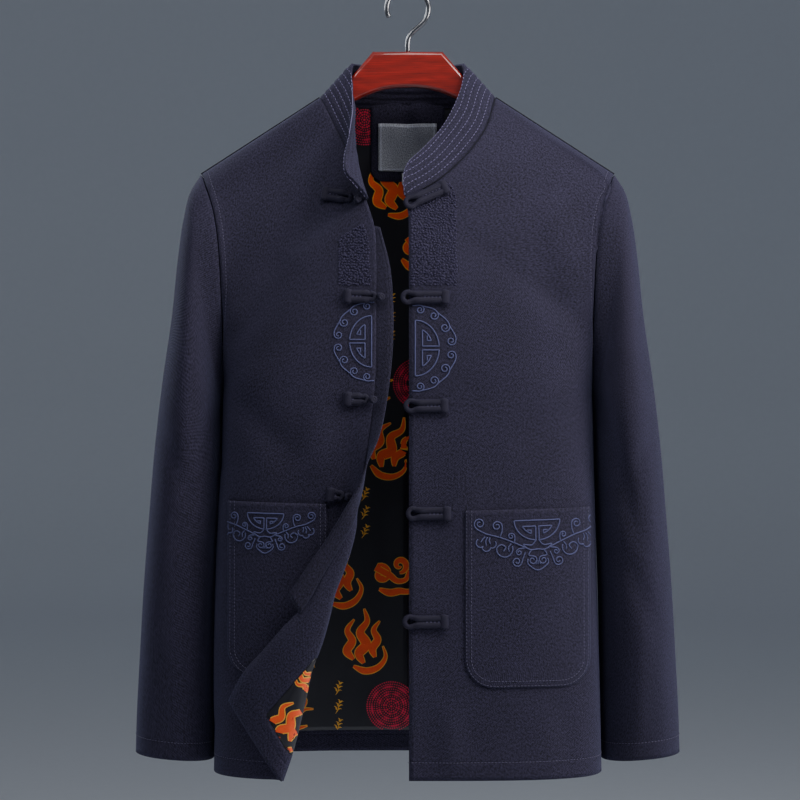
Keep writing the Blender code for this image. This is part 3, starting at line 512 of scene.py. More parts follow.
def plain_row(row):
    """A row that isn't turned, with the same spans as one that is."""
    start, side = np.array(row[0:3]), np.array(row[3:6])
    whole = section(start, side, row[6], 240)[::-1]
    run = length_along(whole)
    strip = ROLL_SPANS + LINED_SPANS + FACED_SPANS
    return sampled(whole, run, np.concatenate([
        np.linspace(0.0, run[-1] - EDGE_STRIP, FRONT_ACROSS + 1),
        run[-1] - EDGE_STRIP + EDGE_STRIP * np.arange(1, strip + 1) / strip,
    ]))


def right_front_grid():
    """Side seam to edge, on the jacket's right."""
    rows = [plain_row(r) for r in RIGHT_FRONT] + [turned_row(r) for r in TURNED_FRONT]
    for row in rows[-2:]:
        fold = row[FRONT_ACROSS + 1]
        for place in row[FRONT_ACROSS + 2:]:
            share = (place[0] - fold[0]) / (row[-1, 0] - fold[0])
            place[2] = fold[2] + (row[-1, 2] - fold[2]) * max(share, 0.0)
    return np.array(rows) * FLIP


def back_grid():
    """Side seam to the neckline and middle, so that its faces look back."""
    return front_grid(with_spans(BACK), BACK_ACROSS)[:, ::-1]


def fractions(line):
    """How far along a line each of its points is, from 0 to 1."""
    run = length_along(line)
    return run / run[-1]


def uncrowded(row):
    """The row, with its points spread evenly along it where they crowd at its side edge."""
    if np.linalg.norm(row[1] - row[0]) > EDGE_CROWD:
        return row
    return sampled(row, fractions(row), np.linspace(0.0, 1.0, len(row)))


def ring_half(outer, inner, depth, shares):
    """Half of a sleeve's ring, from its outer point to its inner one, at these shares of its length."""
    middle = (np.array(outer) + np.array(inner)) / 2
    arm = np.array(outer) - middle
    angle = np.linspace(0.0, math.pi, 121)
    swing = np.sign(np.cos(angle)) * np.abs(np.cos(angle)) ** SLEEVE_SQUARE
    sway = np.abs(np.sin(angle)) ** SLEEVE_SQUARE
    line = np.stack([middle[0] + arm[0] * swing, depth * sway, middle[1] + arm[1] * swing], axis=1)
    return sampled(line, fractions(line), shares)


def sleeve_grid(front, back):
    """Rings from the armhole to the cuff: each runs down the front and up the back. front and back are
    the armhole's edges, from the shoulder to under the arm."""
    top, under = (front[0] + back[0]) / 2, (front[-1] + back[-1]) / 2
    armhole = np.array([top, *front[1:-1], under, *back[-2:0:-1]])
    rings = []
    for i, r in enumerate(with_spans(SLEEVE)):
        even = min((i + 1) / EVEN_RINGS, 1.0)
        halves = []
        for edge, depth in ((front, -r[4]), (back, r[4])):
            shares = fractions(edge) * (1 - even) + np.linspace(0.0, 1.0, len(edge)) * even
            halves.append(ring_half((r[0], r[1]), (r[2], r[3]), depth, shares))
        rings.append([*halves[0], *halves[1][-2:0:-1]])
    away = rings[0] - armhole
    away /= np.linalg.norm(away, axis=1, keepdims=True)
    return np.array([armhole + away * SLEEVE_START, *rings])


def armhole_edge(grid, column):
    """The stretch of a panel's side edge that lies on the armhole."""
    edge = grid[:, column]
    return edge[edge[:, 2] > UNDERARM - 1.0]


@functools.cache
def shape(name):
    """A piece's outer side as a fine grid with its creases, in millimetres."""
    if name == "front_left":
        return creased(finer(left_front_grid(), CLOTH_STEP), LEFT_CREASES)
    if name == "front_right":
        return creased(finer(right_front_grid(), CLOTH_STEP), RIGHT_CREASES)
    if name == "back":
        half = refined(np.array([uncrowded(row) for row in back_grid()]), CLOTH_STEP)
        middle = half[:, -1, 0]
        middle[middle < EDGE_CROWD] = 0.0
        half = refined_across(half, CLOTH_STEP, mirror=True)
        half[:, :, 0] = np.maximum(half[:, :, 0], 0.0)
        return np.concatenate([creased(side, BACK_CREASES) for side in (half, mirrored(half))], axis=1)
    behind = armhole_edge(back_grid(), 0)
    if name == "sleeve_left":
        grid = sleeve_grid(armhole_edge(left_front_grid(), -1), behind)[:, ::-1]
        return creased(finer(grid, CLOTH_STEP, ring=True), SLEEVE_CREASES)
    if name == "sleeve_right":
        grid = sleeve_grid(armhole_edge(right_front_grid(), 0) * FLIP, behind) * FLIP
        return creased(finer(grid, CLOTH_STEP, ring=True), SLEEVE_CREASES * [-1, 1, -1, 1, 1, 1, 1])
    if name == "collar":
        grid = collar_grid(left_front_grid(), right_front_grid(), back_grid())
        grid = refined_across(refined(grid, COLLAR_STEP), CLOTH_STEP)
        rise = runs(grid[::-1], 0)[::-1]
        ridge = np.sqrt(np.abs(np.sin(np.pi * np.clip(rise / COLLAR_ROWS, 0.0, COLLAR_LINES))))
        return raised(grid, COLLAR_PAD * (ridge - 1.0))
    raise ValueError(name)


def collar_grid(left, right, back):
    """One band from the right front's neck, round the back to the left front's. Its rows run from the top."""
    tops = np.array([
        *COLLAR_RIGHT[::-1],
        *[(-x, y, z, -bow) for x, y, z, bow in COLLAR_BACK],
        *COLLAR_BACK[-2::-1],
        *COLLAR_LEFT,
    ])
    neck = back[:BACK_NECK_ROWS, -1]
    seam = np.concatenate([
        right[:len(COLLAR_RIGHT), -1][::-1], neck[1:] * FLIP, neck[-2:0:-1],
        left[:len(COLLAR_LEFT), 0],
    ])
    ribs = []
    for low, top in zip(seam, tops):
        middle = (low + top[:3]) / 2 + np.array([top[3], 0.0, 0.0])
        t = np.linspace(0.0, 1.0, COLLAR_UP + 1)[:, None]
        ribs.append((1 - t) ** 2 * low + 2 * t * (1 - t) * middle + t**2 * top[:3])
    return trimmed(np.array(ribs).swapaxes(0, 1)[::-1, ::-1], bottom=COLLAR_LIFT)


# Finer surfaces

def refined(lines, step, mirror=False):
    """The lines with more between them, about a step apart, on smooth curves through them all. With mirror,
    what ends on the middle plane goes on smoothly into its mirror image."""
    chord = np.diff(lines, axis=0)
    gaps = np.linalg.norm(chord, axis=2, keepdims=True) + 1e-9
    chord /= gaps
    middle = (chord[:-1] * gaps[1:] + chord[1:] * gaps[:-1]) / (gaps[:-1] + gaps[1:])
    slope = np.concatenate([chord[:1], middle, chord[-1:]])
    if mirror:
        slope[-1, np.abs(lines[-1, :, 0]) < 0.01, 1:] = 0.0
    return curved(lines, slope, gaps, spans_of(gaps, step))


def spans_of(gaps, step):
    """How many spans of about a step fill each gap."""
    return [max(1, round(gap.mean() / step)) for gap in gaps]


def stops_of(lines, step=CLOTH_STEP):
    """Where each of the lines is among the refined ones."""
    return [0, *np.cumsum(spans_of(np.linalg.norm(np.diff(lines, axis=0), axis=2), step))]


def refined_across(grid, step, mirror=False):
    return refined(grid.swapaxes(0, 1), step, mirror).swapaxes(0, 1)


def finer(grid, step, ring=False):
    """The grid refined down and across. A ring of columns closes on itself."""
    grid = refined(grid, step)
    if not ring:
        return refined_across(grid, step)
    wrapped = np.concatenate([grid[:, -2:], grid, grid[:, :3]], axis=1)
    at = stops_of(wrapped.swapaxes(0, 1), step)
    return refined_across(wrapped, step)[:, at[2]:at[-3]]


def halves(grid):
    """The two sides of the back, which meet in two like columns below the neck."""
    middle = grid.shape[1] // 2
    return grid[:, :middle], grid[:, middle:]


def back_layer(out):
    """The back moved out by this much, one side at a time."""
    left, right = [moved(side, out) for side in halves(shape("back"))]
    left[:, :, 0] = np.maximum(left[:, :, 0], 0.0)
    right[:, :, 0] = np.minimum(right[:, :, 0], 0.0)
    return np.concatenate([left, right], axis=1)


def apart(grid):
    """Which cells of a two-sided grid are cloth: all but those between its two sides."""
    cells = np.ones((grid.shape[0] - 1, grid.shape[1] - 1), bool)
    cells[:, grid.shape[1] // 2 - 1] = False
    return cells


def runs(grid, axis):
    """How far each point is along its line from the line's first point."""
    steps = np.linalg.norm(np.diff(grid, axis=axis), axis=2)
    first = np.zeros_like(np.take(steps, [0], axis=axis))
    return np.concatenate([first, np.cumsum(steps, axis=axis)], axis=axis)


def raised(grid, height):
    """The grid with each point moved out by its own height."""
    return grid + grid_normals(grid)[0] * height[:, :, None]


def creased(grid, creases):
    """The grid with soft folds: each runs from x, z to x, z with a half width, a height and the side it is
    on, -1 for the front and 1 for the back."""
    normal = grid_normals(grid)[0]
    height = np.zeros(grid.shape[:2])
    place = grid[:, :, [0, 2]]
    for x0, z0, x1, z1, half, up, side in creases:
        start, step = np.array([x0, z0]), np.array([x1 - x0, z1 - z0])
        along = ((place - start) @ step) / (step @ step)
        nearest = start + np.clip(along, 0.0, 1.0)[:, :, None] * step
        apart = np.linalg.norm(place - nearest, axis=2) / half
        faces = np.clip(normal[:, :, 1] * side * 2.5, 0.0, 1.0) if side else 1.0
        fade = np.sin(np.pi * np.clip(along * 0.9 + 0.05, 0.0, 1.0)) ** 0.6
        height += up * np.exp(-apart**2) * fade * faces
    return grid + normal * height[:, :, None]


def stops():
    """Where the right front's coarse rows and columns are in its fine grid."""
    grid = right_front_grid()
    return stops_of(grid), stops_of(refined(grid, CLOTH_STEP).swapaxes(0, 1))


# Objects

def linked(name, data):
    """A new object in the scene."""
    obj = bpy.data.objects.new(name, data)
    bpy.context.scene.collection.objects.link(obj)
    return obj


def reworked(mesh, change):
    """Runs the change on the mesh's editable form."""
    made = bmesh.new()
    made.from_mesh(mesh)
    change(made)
    made.to_mesh(mesh)
    made.free()


def bevelled(obj, width, segments, degrees):
    """Rounds the edges that turn by more than this."""
    edge = obj.modifiers.new("Edge", "BEVEL")
    edge.width = width * MM
    edge.segments = segments
    edge.limit_method = "ANGLE"
    edge.angle_limit = math.radians(degrees)
    return edge


def set_down(obj, slot, *nodes):
    """Hangs the piece from the root body and hides the CAD nodes that it replaces. Its material slot is not
    used.
    """
    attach(obj, "root")
    if nodes:
        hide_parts(*nodes)


def mesh_object(name, points, faces, finish, uvs=None):
    mesh = bpy.data.meshes.new(name)
    mesh.from_pydata((np.asarray(points) * MM).tolist(), [], [tuple(f) for f in faces])
    if uvs is not None:
        layer = mesh.uv_layers.new(name="Along")
        loops = np.array([v for f in faces for v in f])
        layer.data.foreach_set("uv", np.asarray(uvs)[loops].astype(np.float32).ravel())
    mesh.shade_smooth()
    mesh.materials.append(finish)
    return linked(name, mesh)


def solid(name, parts, finish, slot, *nodes):
    """A piece of closed forms, each (points, faces, uvs), with their faces turned outwards."""
    points, faces, uvs = joined(parts)
    obj = mesh_object(name, points, faces, finish, uvs)
    reworked(obj.data, lambda made: bmesh.ops.recalc_face_normals(made, faces=made.faces))
    set_down(obj, slot, *nodes)


# Cloth pieces

def cloth(
    name, node, slot, rests_on, grid, thickness, finish, cells=None, ring=False, two_sided=False
):
    """A shell of cloth behind the grid in its CAD node's place.
    It has a map that follows the weave, and each point's distance from every edge in millimetres."""
    rows, columns = grid.shape[:2]
    closed = np.concatenate([grid, grid[:, :1]], axis=1) if ring else grid
    across, down = runs(closed, 1), runs(closed, 0)
    r, c = np.meshgrid(np.arange(rows - 1), np.arange(closed.shape[1] - 1), indexing="ij")
    cells = apart(grid) if two_sided else cells
    if cells is not None:
        r, c = r[cells], c[cells]
    r, c = r.ravel(), c.ravel()
    corners = [(r, c), (r + 1, c), (r + 1, c + 1), (r, c + 1)]
    used, faces = np.unique(
        np.stack([i * columns + j % columns for i, j in corners], axis=1), return_inverse=True
    )
    mesh = bpy.data.meshes.new(name)
    mesh.from_pydata((grid.reshape(-1, 3)[used] * MM).tolist(), [], faces.reshape(-1, 4).tolist())
    weave = mesh.uv_layers.new(name="Weave")
    flat = np.stack([np.stack([across[i, j], down[i, j]], axis=1) for i, j in corners], axis=1)
    weave.data.foreach_set("uv", (flat * MM).astype(np.float32).ravel())
    for label, distance in (
        ("from_first", across), ("from_last", across[:, -1:] - across),
        ("from_top", down), ("from_bottom", down[-1:] - down),
    ):
        layer = mesh.attributes.new(label, "FLOAT", "POINT")
        layer.data.foreach_set("value", distance[:, :columns].reshape(-1)[used].astype(np.float32))
    if two_sided:
        reworked(mesh, lambda made: bmesh.ops.remove_doubles(made, verts=made.verts, dist=0.01 * MM))
    mesh.shade_smooth()
    mesh.materials.append(finish)
    obj = linked(name, mesh)
    wall = obj.modifiers.new("Wall", "SOLIDIFY")
    wall.thickness = thickness * MM
    wall.offset = -1.0
    wall.use_even_offset = False
    set_down(obj, slot, node)
    a, b, c2, d = (closed[i, j] for i, j in corners)
    area = float(np.linalg.norm(np.cross(c2 - a, d - b), axis=1).sum() / 2) * MM**2
    return obj


# What lies on the cloth

class Panel:
    """A surface that pieces are laid on. towards is 1 where it is seen from the front, -1 from the back."""

    def __init__(self, *grids, towards=1.0):
        points, faces = [], []
        for grid in grids:
            rows, columns = grid.shape[:2]
            first = len(points)
            points += grid.reshape(-1, 3).tolist()
            r, c = np.meshgrid(np.arange(rows - 1), np.arange(columns - 1), indexing="ij")
            corner = first + r * columns + c
            quads = np.stack([corner, corner + columns, corner + columns + 1, corner + 1], axis=2)
            faces += quads.reshape(-1, 4).tolist()
        self.tree = BVHTree.FromPolygons(points, faces)
        self.towards = towards

    def touch(self, x, z):
        start = Vector((x, -FEEL_FROM * self.towards, z))
        hit, normal, _, _ = self.tree.ray_cast(start, Vector((0.0, self.towards, 0.0)))
        if hit is None:
            return None
        if normal.y * self.towards > 0:
            normal = -normal
        return np.array(hit), np.array(normal)

    def point(self, x, z, out, back_to=None):
        """The point so far outside the panel. Off its edge, the panel is felt for on the way back_to."""
        felt = np.array([x, z], float)
        found = self.touch(*felt)
        for _ in range(FEEL_STEPS):
            if found is not None or back_to is None:
                break
            step = np.array(back_to) - felt
            felt += step / max(np.linalg.norm(step), 1.0)
            found = self.touch(*felt)
        if found is None:
            return None
        place, normal = found
        return place + normal * out + np.array([x - felt[0], 0.0, z - felt[1]])

    def line(self, flat, out, back_to=None):
        """Runs of three points or more laid on the panel: a run ends where the panel does."""
        pieces = [[]]
        for x, z in flat:
            place = self.point(x, z, out, back_to)
            if place is None:
                pieces.append([])
            else:
                pieces[-1].append(place)
        return [np.array(piece) for piece in pieces if len(piece) > 2]


@functools.cache
def turned_corner():
    """The right front's inner side with its columns slid so that one of them follows the lining's slanting
    seam, and the row where the lining ends at the fold."""
    grid = moved(shape("front_right"), -(WALL + GAP))
    row_at, column_at = stops()
    start, fold = column_at[FRONT_ACROSS - 1], column_at[FRONT_ACROSS + 1]
    faced, last = column_at[-1 - FACED_SPANS], column_at[-1]
    (x0, z0), (x1, z1) = CORNER_SEAM
    across = (x1 - x0) * (grid[:, :, 2] - z0) - (z1 - z0) * (grid[:, :, 0] - x0)
    seams = {}
    for r in range(row_at[len(RIGHT_FRONT)], len(grid)):
        line = across[r, fold:]
        if line[0] > 0.0:
            k = int(np.argmax(line <= 0.0))
            seams[r] = fold + max(k - 1 + line[k - 1] / (line[k - 1] - line[k]), 0.3)
    apex = min(seams)
    made = grid.copy()
    for r in range(row_at[len(RIGHT_FRONT)], len(grid)):
        above = (r - row_at[len(RIGHT_FRONT)]) / (apex - row_at[len(RIGHT_FRONT)])
        seam = seams.get(r, faced + (seams[apex] - faced) * min(above, 1.0))
        at = np.interp(np.arange(start, last + 1), [start, fold, faced, last], [start, fold, seam, last])
        for k in range(3):
            made[r, start:last + 1, k] = np.interp(at, np.arange(grid.shape[1]), grid[r, :, k])
    return made, apex


@functools.cache
def panel(name):
    if name == "left":
        return Panel(shape("front_left"))
    if name == "right":
        return Panel(shape("front_right"))
    if name == "under_flap":
        return Panel(shape("front_right"), towards=-1.0)
    if name == "right_side":
        return Panel(shape("front_right")[:, :stops()[1][FRONT_ACROSS] + 1])
    raise ValueError(name)


def smoothed(points, step):
    """A line of points with more between them on a smooth curve."""
    return refined(np.asarray(points, float)[:, None, :], step)[:, 0]


def tube(path, radii, flatten=1.0, sides=10, up=(0.0, -1.0, 0.0)):
    """(points, faces, uvs) of a closed round of cord along a path, flattened towards the cloth."""
    path, radii = np.asarray(path), np.broadcast_to(radii, len(path))
    along = np.gradient(path, axis=0)
    along /= np.linalg.norm(along, axis=1, keepdims=True)
    side = np.cross(along, np.asarray(up))
    side /= np.linalg.norm(side, axis=1, keepdims=True)
    high = np.cross(side, along)
    angle = 2 * np.pi * np.arange(sides) / sides
    rings = path[:, None] + radii[:, None, None] * (
        side[:, None] * np.cos(angle)[None, :, None] + high[:, None] * flatten * np.sin(angle)[None, :, None]
    )
    count = len(path)
    run = runs(path[:, None], 0)[:, 0]
    points = [*rings.reshape(-1, 3), path[0], path[-1]]
    uvs = [(j / sides, d * MM) for d in run for j in range(sides)]
    uvs += [(0.5, 0.0), (0.5, run[-1] * MM)]
    faces = [
        (i * sides + j, i * sides + (j + 1) % sides, (i + 1) * sides + (j + 1) % sides, (i + 1) * sides + j)
        for i in range(count - 1) for j in range(sides)
    ]
    last = (count - 1) * sides
    faces += [(count * sides, (j + 1) % sides, j) for j in range(sides)]
    faces += [(count * sides + 1, last + j, last + (j + 1) % sides) for j in range(sides)]
    return points, faces, uvs


def joined(parts):
    """Several (points, faces, uvs) as one."""
    points, faces, uvs = [], [], []
    for more_points, more_faces, more_uvs in parts:
        first = len(points)
        points += list(more_points)
        faces += [tuple(first + v for v in f) for f in more_faces]
        uvs += list(more_uvs)
    return points, faces, uvs


# Repeats by Geometry Nodes

def node_in(tree, kind, inputs=None, **settings):
    """A new node's first output. The inputs are values or links."""
    node = tree.nodes.new(kind)
    for name, value in settings.items():
        setattr(node, name, value)
    for name, value in (inputs or {}).items():
        if isinstance(value, bpy.types.NodeSocket):
            tree.links.new(value, node.inputs[name])
        else:
            node.inputs[name].default_value = value
    return node.outputs[0]


def repeat_tree(name, source, sizes, result):
    """A tree with named inputs, the geometry that it starts from first, and what they give."""
    tree = bpy.data.node_groups.new(name, "GeometryNodeTree")
    face = tree.interface
    face.new_socket(source, in_out="INPUT", socket_type="NodeSocketGeometry")
    for label, default in sizes.items():
        face.new_socket(label, in_out="INPUT", socket_type="NodeSocketFloat").default_value = default
    face.new_socket("Thread", in_out="INPUT", socket_type="NodeSocketMaterial")
    face.new_socket(result, in_out="OUTPUT", socket_type="NodeSocketGeometry")
    return tree, tree.nodes.new("NodeGroupInput").outputs


def end_tree(tree, points, instance, rotation, thread):
    """The instance at every point, made real and given the thread's material."""
    placed = node_in(
        tree, "GeometryNodeInstanceOnPoints",
        {"Points": points, "Instance": instance, "Rotation": rotation},
    )
    real = node_in(tree, "GeometryNodeRealizeInstances", {"Geometry": placed})
    painted = node_in(tree, "GeometryNodeSetMaterial", {"Geometry": real, "Material": thread})
    tree.links.new(painted, tree.nodes.new("NodeGroupOutput").inputs[0])
    return tree


@functools.cache
def stitch_tree():
    """Stitches along every line of a wire mesh."""
    tree, given = repeat_tree(
        "sewing_stitches", "Lines", {"Spacing": 0.003, "Length": 0.0022, "Radius": 0.0003}, "Stitches"
    )
    curve = node_in(tree, "GeometryNodeMeshToCurve", {"Mesh": given["Lines"]})
    spaced_out = node_in(
        tree, "GeometryNodeResampleCurve", {"Curve": curve, "Length": given["Spacing"]}, mode="LENGTH"
    )
    tangent = node_in(tree, "GeometryNodeInputTangent")
    ahead = node_in(tree, "FunctionNodeAlignRotationToVector", {"Vector": tangent}, axis="Z")
    ball = node_in(tree, "GeometryNodeMeshUVSphere", {"Segments": 6, "Rings": 5, "Radius": 1.0})
    half = node_in(tree, "ShaderNodeMath", {0: given["Length"], 1: 0.5}, operation="MULTIPLY")
    size = node_in(tree, "ShaderNodeCombineXYZ", {"X": given["Radius"], "Y": given["Radius"], "Z": half})
    stitch = node_in(tree, "GeometryNodeTransform", {"Geometry": ball, "Scale": size})
    return end_tree(tree, spaced_out, stitch, ahead, given["Thread"])


@functools.cache
def knot_tree():
    """Little knots of thread, scattered evenly over a patch of cloth."""
    tree, given = repeat_tree("embroidered_knots", "Patch", {"Spacing": 0.002, "Radius": 0.0008}, "Knots")
    points = node_in(
        tree, "GeometryNodeDistributePointsOnFaces",
        {"Mesh": given["Patch"], "Distance Min": given["Spacing"], "Density Max": 600000.0, "Seed": 7},
        distribute_method="POISSON",
    )
    ring = node_in(
        tree, "GeometryNodeCurvePrimitiveCircle", {"Resolution": 6, "Radius": given["Radius"]}, mode="RADIUS"
    )
    thin = node_in(tree, "ShaderNodeMath", {0: given["Radius"], 1: 0.55}, operation="MULTIPLY")
    profile = node_in(
        tree, "GeometryNodeCurvePrimitiveCircle", {"Resolution": 4, "Radius": thin}, mode="RADIUS"
    )
    knot = node_in(tree, "GeometryNodeCurveToMesh", {"Curve": ring, "Profile Curve": profile})
    tilt = node_in(
        tree, "FunctionNodeRandomValue", {"Min": (-0.7, -0.7, 0.0), "Max": (0.7, 0.7, 6.28), "Seed": 3},
        data_type="FLOAT_VECTOR",
    )
    loose = node_in(
        tree, "FunctionNodeRotateRotation",
        {"Rotation": points.node.outputs["Rotation"], "Rotate By": tilt}, rotation_space="LOCAL",
    )
    return end_tree(tree, points, knot, loose, given["Thread"])


def repeated(name, base, tree, **inputs):
    """A new object with the plain mesh that the tree makes from the base object, which is removed."""
    modifier = base.modifiers.new("Repeat", "NODES")
    modifier.node_group = tree
    sockets = {item.name: item.identifier for item in tree.interface.items_tree if item.in_out == "INPUT"}
    for label, value in inputs.items():
        modifier[sockets[label]] = value
    graph = bpy.context.evaluated_depsgraph_get()
    mesh = bpy.data.meshes.new_from_object(base.evaluated_get(graph), depsgraph=graph)
    base.modifiers.remove(modifier)
    bpy.data.objects.remove(base, do_unlink=True)
    mesh.name = name
    mesh.shade_smooth()
    return linked(name, mesh)


def wire(name, lines):
    """A mesh of the lines' edges alone, in metres."""
    points, edges = [], []
    for line in lines:
        first = len(points)
        points += (np.asarray(line) * MM).tolist()
        edges += [(first + i, first + i + 1) for i in range(len(line) - 1)]
    mesh = bpy.data.meshes.new(name)
    mesh.from_pydata(points, edges, [])
    return linked(name, mesh)


def stitches(name, lines, thread, slot, bold=1.0):
    """Rows of stitches along the lines, as large as the sewing's sizes times bold."""
    sewing = bpy.context.scene.jacket_sewing
    obj = repeated(
        name, wire(name + "_lines", lines), stitch_tree(), Spacing=sewing.spacing * bold,
        Length=sewing.length * bold, Radius=sewing.thread / 2 * bold, Thread=thread,
    )
    set_down(obj, slot)


def beside(grid, distance, edge, lift):
    """The line that runs beside an edge of the grid, this far in from it and lifted off the cloth. edge is
    first, last, top or bottom."""
    lines = moved(grid, lift)
    lines = lines if edge in ("first", "last") else lines.swapaxes(0, 1)
    if edge in ("last", "bottom"):
        lines = lines[:, ::-1]
    run = runs(lines, 1)
    return np.array([
        [np.interp(distance, run[i], line[:, k]) for k in range(3)] for i, line in enumerate(lines)
    ])


# Materials

class Shade:
    """A shader value that takes Python's arithmetic."""

    def __init__(self, tree, socket):
        self.tree = tree
        self.socket = socket

    def maths(self, operation, *values):
        made = self.tree.nodes.new("ShaderNodeMath")
        made.operation = operation
        for place, value in zip(made.inputs, values):
            if isinstance(value, Shade):
                self.tree.links.new(value.socket, place)
            else:
                place.default_value = value
        return Shade(self.tree, made.outputs[0])

    def __add__(self, other):
        return self.maths("ADD", self, other)

    def __radd__(self, other):
        return self.maths("ADD", other, self)

    def __sub__(self, other):
        return self.maths("SUBTRACT", self, other)

    def __rsub__(self, other):
        return self.maths("SUBTRACT", other, self)

    def __mul__(self, other):
        return self.maths("MULTIPLY", self, other)

    def __abs__(self):
        return self.maths("ABSOLUTE", self)

    def sine(self):
        return self.maths("SINE", self)

    def band(self, middle, half):
        """1 at the middle value, falling softly to 0 half away from it."""
        return self.maths("MAXIMUM", 1.0 - abs(self - middle) * (1.0 / half), 0.0)

    def clipped(self):
        return self.maths("MINIMUM", self.maths("MAXIMUM", self, 0.0), 1.0)


class Finish:
    """A material with its nodes. Constants go on the shader's own sockets."""

    def __init__(self, name, **constants):
        self.material = bpy.data.materials.new(name)
        self.material.use_nodes = True
        self.tree = self.material.node_tree
        self.shader = self.tree.nodes["Principled BSDF"]
        for label, value in constants.items():
            self.shader.inputs[label.replace("_", " ")].default_value = value

    def node(self, kind, inputs=None, output=0, **settings):
        """Any node. The inputs are values or links."""
        made = self.tree.nodes.new(kind)
        for name, value in settings.items():
            setattr(made, name, value)
        for name, value in (inputs or {}).items():
            if isinstance(value, Shade):
                self.tree.links.new(value.socket, made.inputs[name])
            else:
                made.inputs[name].default_value = value
        return Shade(self.tree, made.outputs[output])

    def paint(self, **links):
        for label, value in links.items():
            self.tree.links.new(value.socket, self.shader.inputs[label.replace("_", " ")])
        return self.material

    def stretched(self, vector, factors):
        return self.node("ShaderNodeVectorMath", {0: vector, 1: factors}, operation="MULTIPLY")

    def weave(self, across=1000.0, down=1000.0, name="Weave"):
        """The cloth's own map, stretched: 1000 gives millimetres."""
        return self.stretched(self.node("ShaderNodeUVMap", uv_map=name), (across, down, 1.0))

    def place(self, x=1000.0, y=1000.0, z=1000.0):
        """Object coordinates, stretched: 1000 gives millimetres."""
        return self.stretched(self.node("ShaderNodeTexCoord", output="Object"), (x, y, z))

    def split(self, vector):
        first = self.node("ShaderNodeSeparateXYZ", {0: vector})
        return [Shade(self.tree, output) for output in first.socket.node.outputs]

    def noise(self, vector, detail=2.0, roughness=0.5):
        return self.node(
            "ShaderNodeTexNoise",
            {"Vector": vector, "Scale": 1.0, "Detail": detail, "Roughness": roughness},
        )

    def distance(self, edge):
        return self.node("ShaderNodeAttribute", output="Fac", attribute_name=edge)

    def blend(self, share, *colours):
        """A colour between two, each a colour or a link."""
        first, second = (c if isinstance(c, Shade) else (*c, 1.0) for c in colours)
        return self.node("ShaderNodeMix", {0: share, 6: first, 7: second}, 2, data_type="RGBA")

    def tones(self, share, colour, dark, light):
        """The colour between so much of it in the dark and in the light."""
        return self.blend(share, times(colour, dark), times(colour, light))

    def relief(self, height):
        """A normal from a height in millimetres."""
        return self.node("ShaderNodeBump", {"Height": height, "Distance": MM, "Strength": 1.0})


def times(colour, factor):
    return tuple(c * factor for c in colour)


@functools.cache
def twill(name, colour, grooves=()):
    """Fine wool twill with a faint sheen. grooves are rows of sewing, each (edge, distance in from it)."""
    finish = Finish(
        name, Roughness=0.86, Sheen_Weight=0.16, Sheen_Roughness=0.5, Sheen_Tint=(*SHEEN, 1.0),
        Specular_IOR_Level=0.22,
    )
    across, down, _ = finish.split(finish.weave())
    pitch = 2 * math.pi / TWILL_PITCH
    rib = ((across + down * 0.8) * pitch).sine()
    grain = finish.noise(finish.weave(760.0, 420.0), detail=3.0, roughness=0.75)
    cloud = finish.noise(finish.weave(22.0, 14.0))
    fleck = finish.noise(finish.weave(430.0, 430.0), detail=3.0, roughness=0.85)
    shade = grain * 2.9 + fleck * 2.9 + rib * 0.14 + cloud * 0.35 - 2.58
    height = rib * 0.10 + grain * 0.22 + fleck * 0.16
    for edge, from_edge in grooves:
        run = finish.distance(edge)
        pucker = finish.noise(finish.weave(160.0, 160.0), detail=1.0) * 0.9 + 0.55
        height = height - run.band(from_edge, 1.5) * 0.32 * pucker
        height = height + run.band(from_edge - 4.0, 4.0) * 0.16 * pucker
    return finish.paint(
        Base_Color=finish.tones(shade.clipped(), colour, 0.30, 1.90), Normal=finish.relief(height),
        Roughness=0.80 + grain * 0.14,
    )


@functools.cache
def satin():
    """Black satin with soft creases and a close warp."""
    finish = Finish(
        "black_satin", Specular_IOR_Level=0.45, Sheen_Weight=0.15, Sheen_Roughness=0.3,
    )
    threads = finish.noise(finish.weave(2600.0, 300.0))
    waves = finish.noise(finish.weave(16.0, 7.0), detail=3.0, roughness=0.55)
    height = threads * 0.04 + waves * 2.6
    return finish.paint(
        Base_Color=finish.tones(threads, LINING_BLACK, 0.7, 1.5),
        Roughness=0.34 + threads * 0.14, Normal=finish.relief(height),
    )


@functools.cache
def thread(name, colour, rough=0.55):
    """Twisted thread or cord, wound along its own length."""
    finish = Finish(
        name, Specular_IOR_Level=0.22, Sheen_Weight=0.12, Sheen_Roughness=0.4, Sheen_Tint=(*SHEEN, 1.0)
    )
    across, down, _ = finish.split(finish.weave(1.0, 1000.0, "Along"))
    wound = ((across * 2.0 + down * (1.0 / 1.1)) * (2 * math.pi)).sine()
    fuzz = finish.noise(finish.place(900.0, 900.0, 900.0))
    shade = wound * 0.28 + fuzz * 0.7 + 0.15
    return finish.paint(
        Base_Color=finish.tones(shade.clipped(), colour, 0.55, 1.35),
        Roughness=rough + fuzz * 0.2, Normal=finish.relief(wound * 0.12 + fuzz * 0.12),
    )


@functools.cache
def stitch_thread(name, colour):
    """Sewing thread, too fine for its twist to show."""
    finish = Finish(name, Specular_IOR_Level=0.4, Sheen_Weight=0.2)
    fuzz = finish.noise(finish.place(700.0, 700.0, 700.0), detail=1.0)
    return finish.paint(Base_Color=finish.tones(fuzz, colour, 0.7, 1.3), Roughness=0.5 + fuzz * 0.2)


